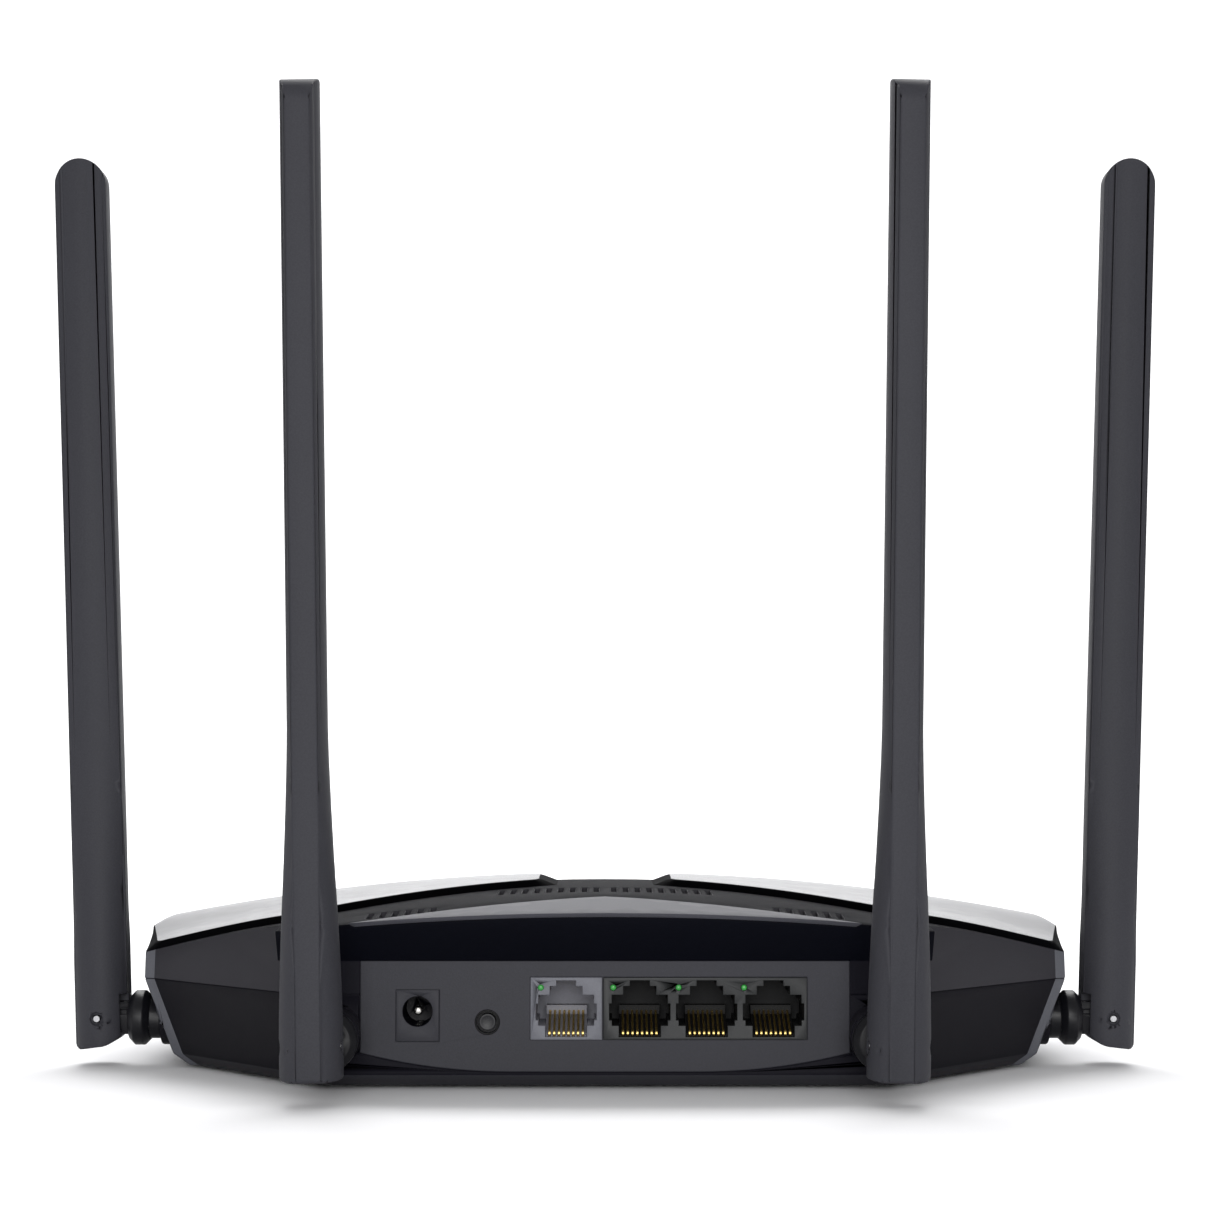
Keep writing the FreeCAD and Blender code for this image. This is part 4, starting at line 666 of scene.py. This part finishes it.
RESET_CENTRE = (-25.1, -60.0, 14.6)
RESET_FACE = np.array([
    (0.5, 0.0), (0.48, 0.8), (0.36, 1.3), (0.3, 1.5), (0.34, 1.68), (0.5, 1.79), (0.8, 1.8),
    (3.0, 1.8), (3.0, 3.2), (3.8, 3.2), (3.8, 1.8), (5.8, 1.8), (5.8, 0.0),
])
RING_PROFILE = np.array([
    (0.6, 2.3), (0.0, 2.3), (-0.14, 2.34), (-0.2, 2.46), (-0.18, 2.6), (-0.08, 2.7),
    (0.1, 2.74), (0.6, 2.74), (0.6, 2.3),
])
button_grey = moulded("satin_grey_button", "#1F1F22", "#27272A", 0.3, 0.008, (0.35, 0.45), 0.25)
# The ring's near-black colour is painted shade standing for the dark gap round the button.
reset_ring_painted_shade = moulded("reset_ring_painted_gap_shade", "#050507", "#09090B", 0.3, 0.008, (0.35, 0.45), 0.15)
surface_piece("reset_button_turned", [turned(RESET_FACE, RESET_CENTRE, (0, 1, 0))], "reset",
              [button_grey], ["reset_button"])
ring_grid = turned(RING_PROFILE, RESET_CENTRE, (0, 1, 0))
surface_piece("reset_ring", [ring_grid], "case", [reset_ring_painted_shade])


# ---- Hinges -------------------------------------------------------------------------------
# Each antenna turns on a stub of satin black acetal: a chamfered disc outside the case, a
# neck, and a barrel that runs in the case's bearing behind a steel retaining ring.

hinge_satin = moulded("satin_black_acetal", "#0B0B0F", "#101014", 0.8, 0.006, (0.3, 0.4), 0.2, 12.0)
spring_steel = plated("spring_steel", "#8A8A8C", "#A5A5A8", (0.25, 0.4), 0.7)
ANTENNAS = ["left_side", "right_side", "left_rear", "right_rear"]
for name in ANTENNAS:
    softened(f"{name}_swivel_stub", 0.2, f"{name}_hinge", [hinge_satin], steps=3)
    softened(f"{name}_retaining_ring", 0.1, f"{name}_hinge", [spring_steel])


# ---- Antennas -----------------------------------------------------------------------------
# Paddle antennas, each two halves of matte black ABS welded round a circuit strip. The
# blade has flat edges and crowned faces, flares to its hinge end, and folds on a steel pin.

antenna_black = moulded("matte_antenna_abs", "#2D2D32", "#36363B", 0.35, 0.018, (0.5, 0.62), 0.15, 80.0)
strip_green = moulded("solder_masked_laminate", "#0F3A22", "#15492B", 0.8, 0.01, (0.3, 0.45), 0.5)
for name in ANTENNAS:
    softened(f"{name}_antenna_shell", 0.35, f"{name}_antenna", [antenna_black], steps=3)
    for material_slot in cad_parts[f"{name}_antenna_strip"].material_slots:
        material_slot.material = strip_green
    for material_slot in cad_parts[f"{name}_fold_pin"].material_slots:
        material_slot.material = spring_steel


# ---- Status window ------------------------------------------------------------------------
# A smoked acrylic strip let into the front edge, with seven small white diodes behind it.

window_smoke = moulded("smoked_acrylic", "#0B0B0D", "#101013", 4.0, 0.0005, (0.06, 0.1), 0.5)
softened("status_window", 0.2, "case", [window_smoke])
led_white = moulded("frosted_diode_lens", "#C9CCC6", "#DADCD6", 0.3, 0.01, (0.3, 0.45), 0.5)


# ---- Feet, screws and rating plate --------------------------------------------------------
# Black rubber feet are glued into recesses in the underside. Cross-recess screws of zinc
# steel close the case, and a blank silver label stands for the rating plate.

FOOT_PROFILE = np.array([
    (0.0, 0.0), (0.0, 4.9), (0.06, 5.4), (0.25, 5.8), (0.55, 5.97), (0.8, 6.0), (1.8, 6.0), (1.8, 0.0),
])
FOOT_PLACES = [(-70, -30), (-70, 58), (70, -30), (70, 58)]
foot_rubber = moulded("black_nitrile_rubber", "#0C0C0D", "#131314", 0.6, 0.03, (0.7, 0.85), 0.3)
feet = [turned(FOOT_PROFILE, (x, y, 0.0), (0, 0, 1)) for x, y in FOOT_PLACES]
surface_piece("rubber_feet_turned", feet, "case", [foot_rubber], ["rubber_feet"])
zinc = plated("zinc_plated_steel", "#8E9092", "#A9ABAD", (0.28, 0.42), 0.5)
softened("case_screws", 0.08, "case", [zinc])
label_silver = moulded("blank_polyester_label", "#A9ABAE", "#B4B6B9", 0.4, 0.004, (0.35, 0.45), 0.5)
softened("rating_plate", 0.1, "case", [label_silver])


# ---- Board and what stands on it ----------------------------------------------------------
# Out of sight inside the case: a green laminate board with tinned shields, chips under a
# black-anodised heatsink, line transformers, the power parts and four aerial leads.

board_green = moulded("green_solder_mask", "#0E3B24", "#145032", 1.2, 0.01, (0.25, 0.4), 0.5, 20.0)
shield_tin = plated("tinned_steel", "#B4B5B4", "#C8C9C8", (0.2, 0.35), 2.0)
chip_black = moulded("epoxy_chip_package", "#151517", "#1D1D1F", 0.3, 0.01, (0.45, 0.6), 0.4)
heatsink_black = plated("black_anodised_aluminium", "#232326", "#2E2E31", (0.35, 0.5), 1.0)
sleeve_blue = moulded("shrunk_pvc_sleeve", "#1B2A4A", "#22345A", 1.0, 0.01, (0.25, 0.35), 0.5)
ferrite = moulded("sintered_ferrite", "#2B2A2B", "#383738", 0.4, 0.03, (0.6, 0.75), 0.4)
lead_black = moulded("fep_coaxial_sheath", "#0F0F10", "#18181A", 0.6, 0.005, (0.25, 0.35), 0.5)
INNER_FINISHES = {
    "main_board": board_green, "radio_shields": shield_tin, "processor": chip_black,
    "heatsink": heatsink_black, "line_transformers": chip_black, "capacitors": sleeve_blue,
    "power_choke": ferrite, "status_leds": led_white, "aerial_plugs": gold_plate,
    "aerial_leads": lead_black, "reset_switch": chip_black,
}
for node, finish in INNER_FINISHES.items():
    for material_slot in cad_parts[node].material_slots:
        material_slot.material = finish
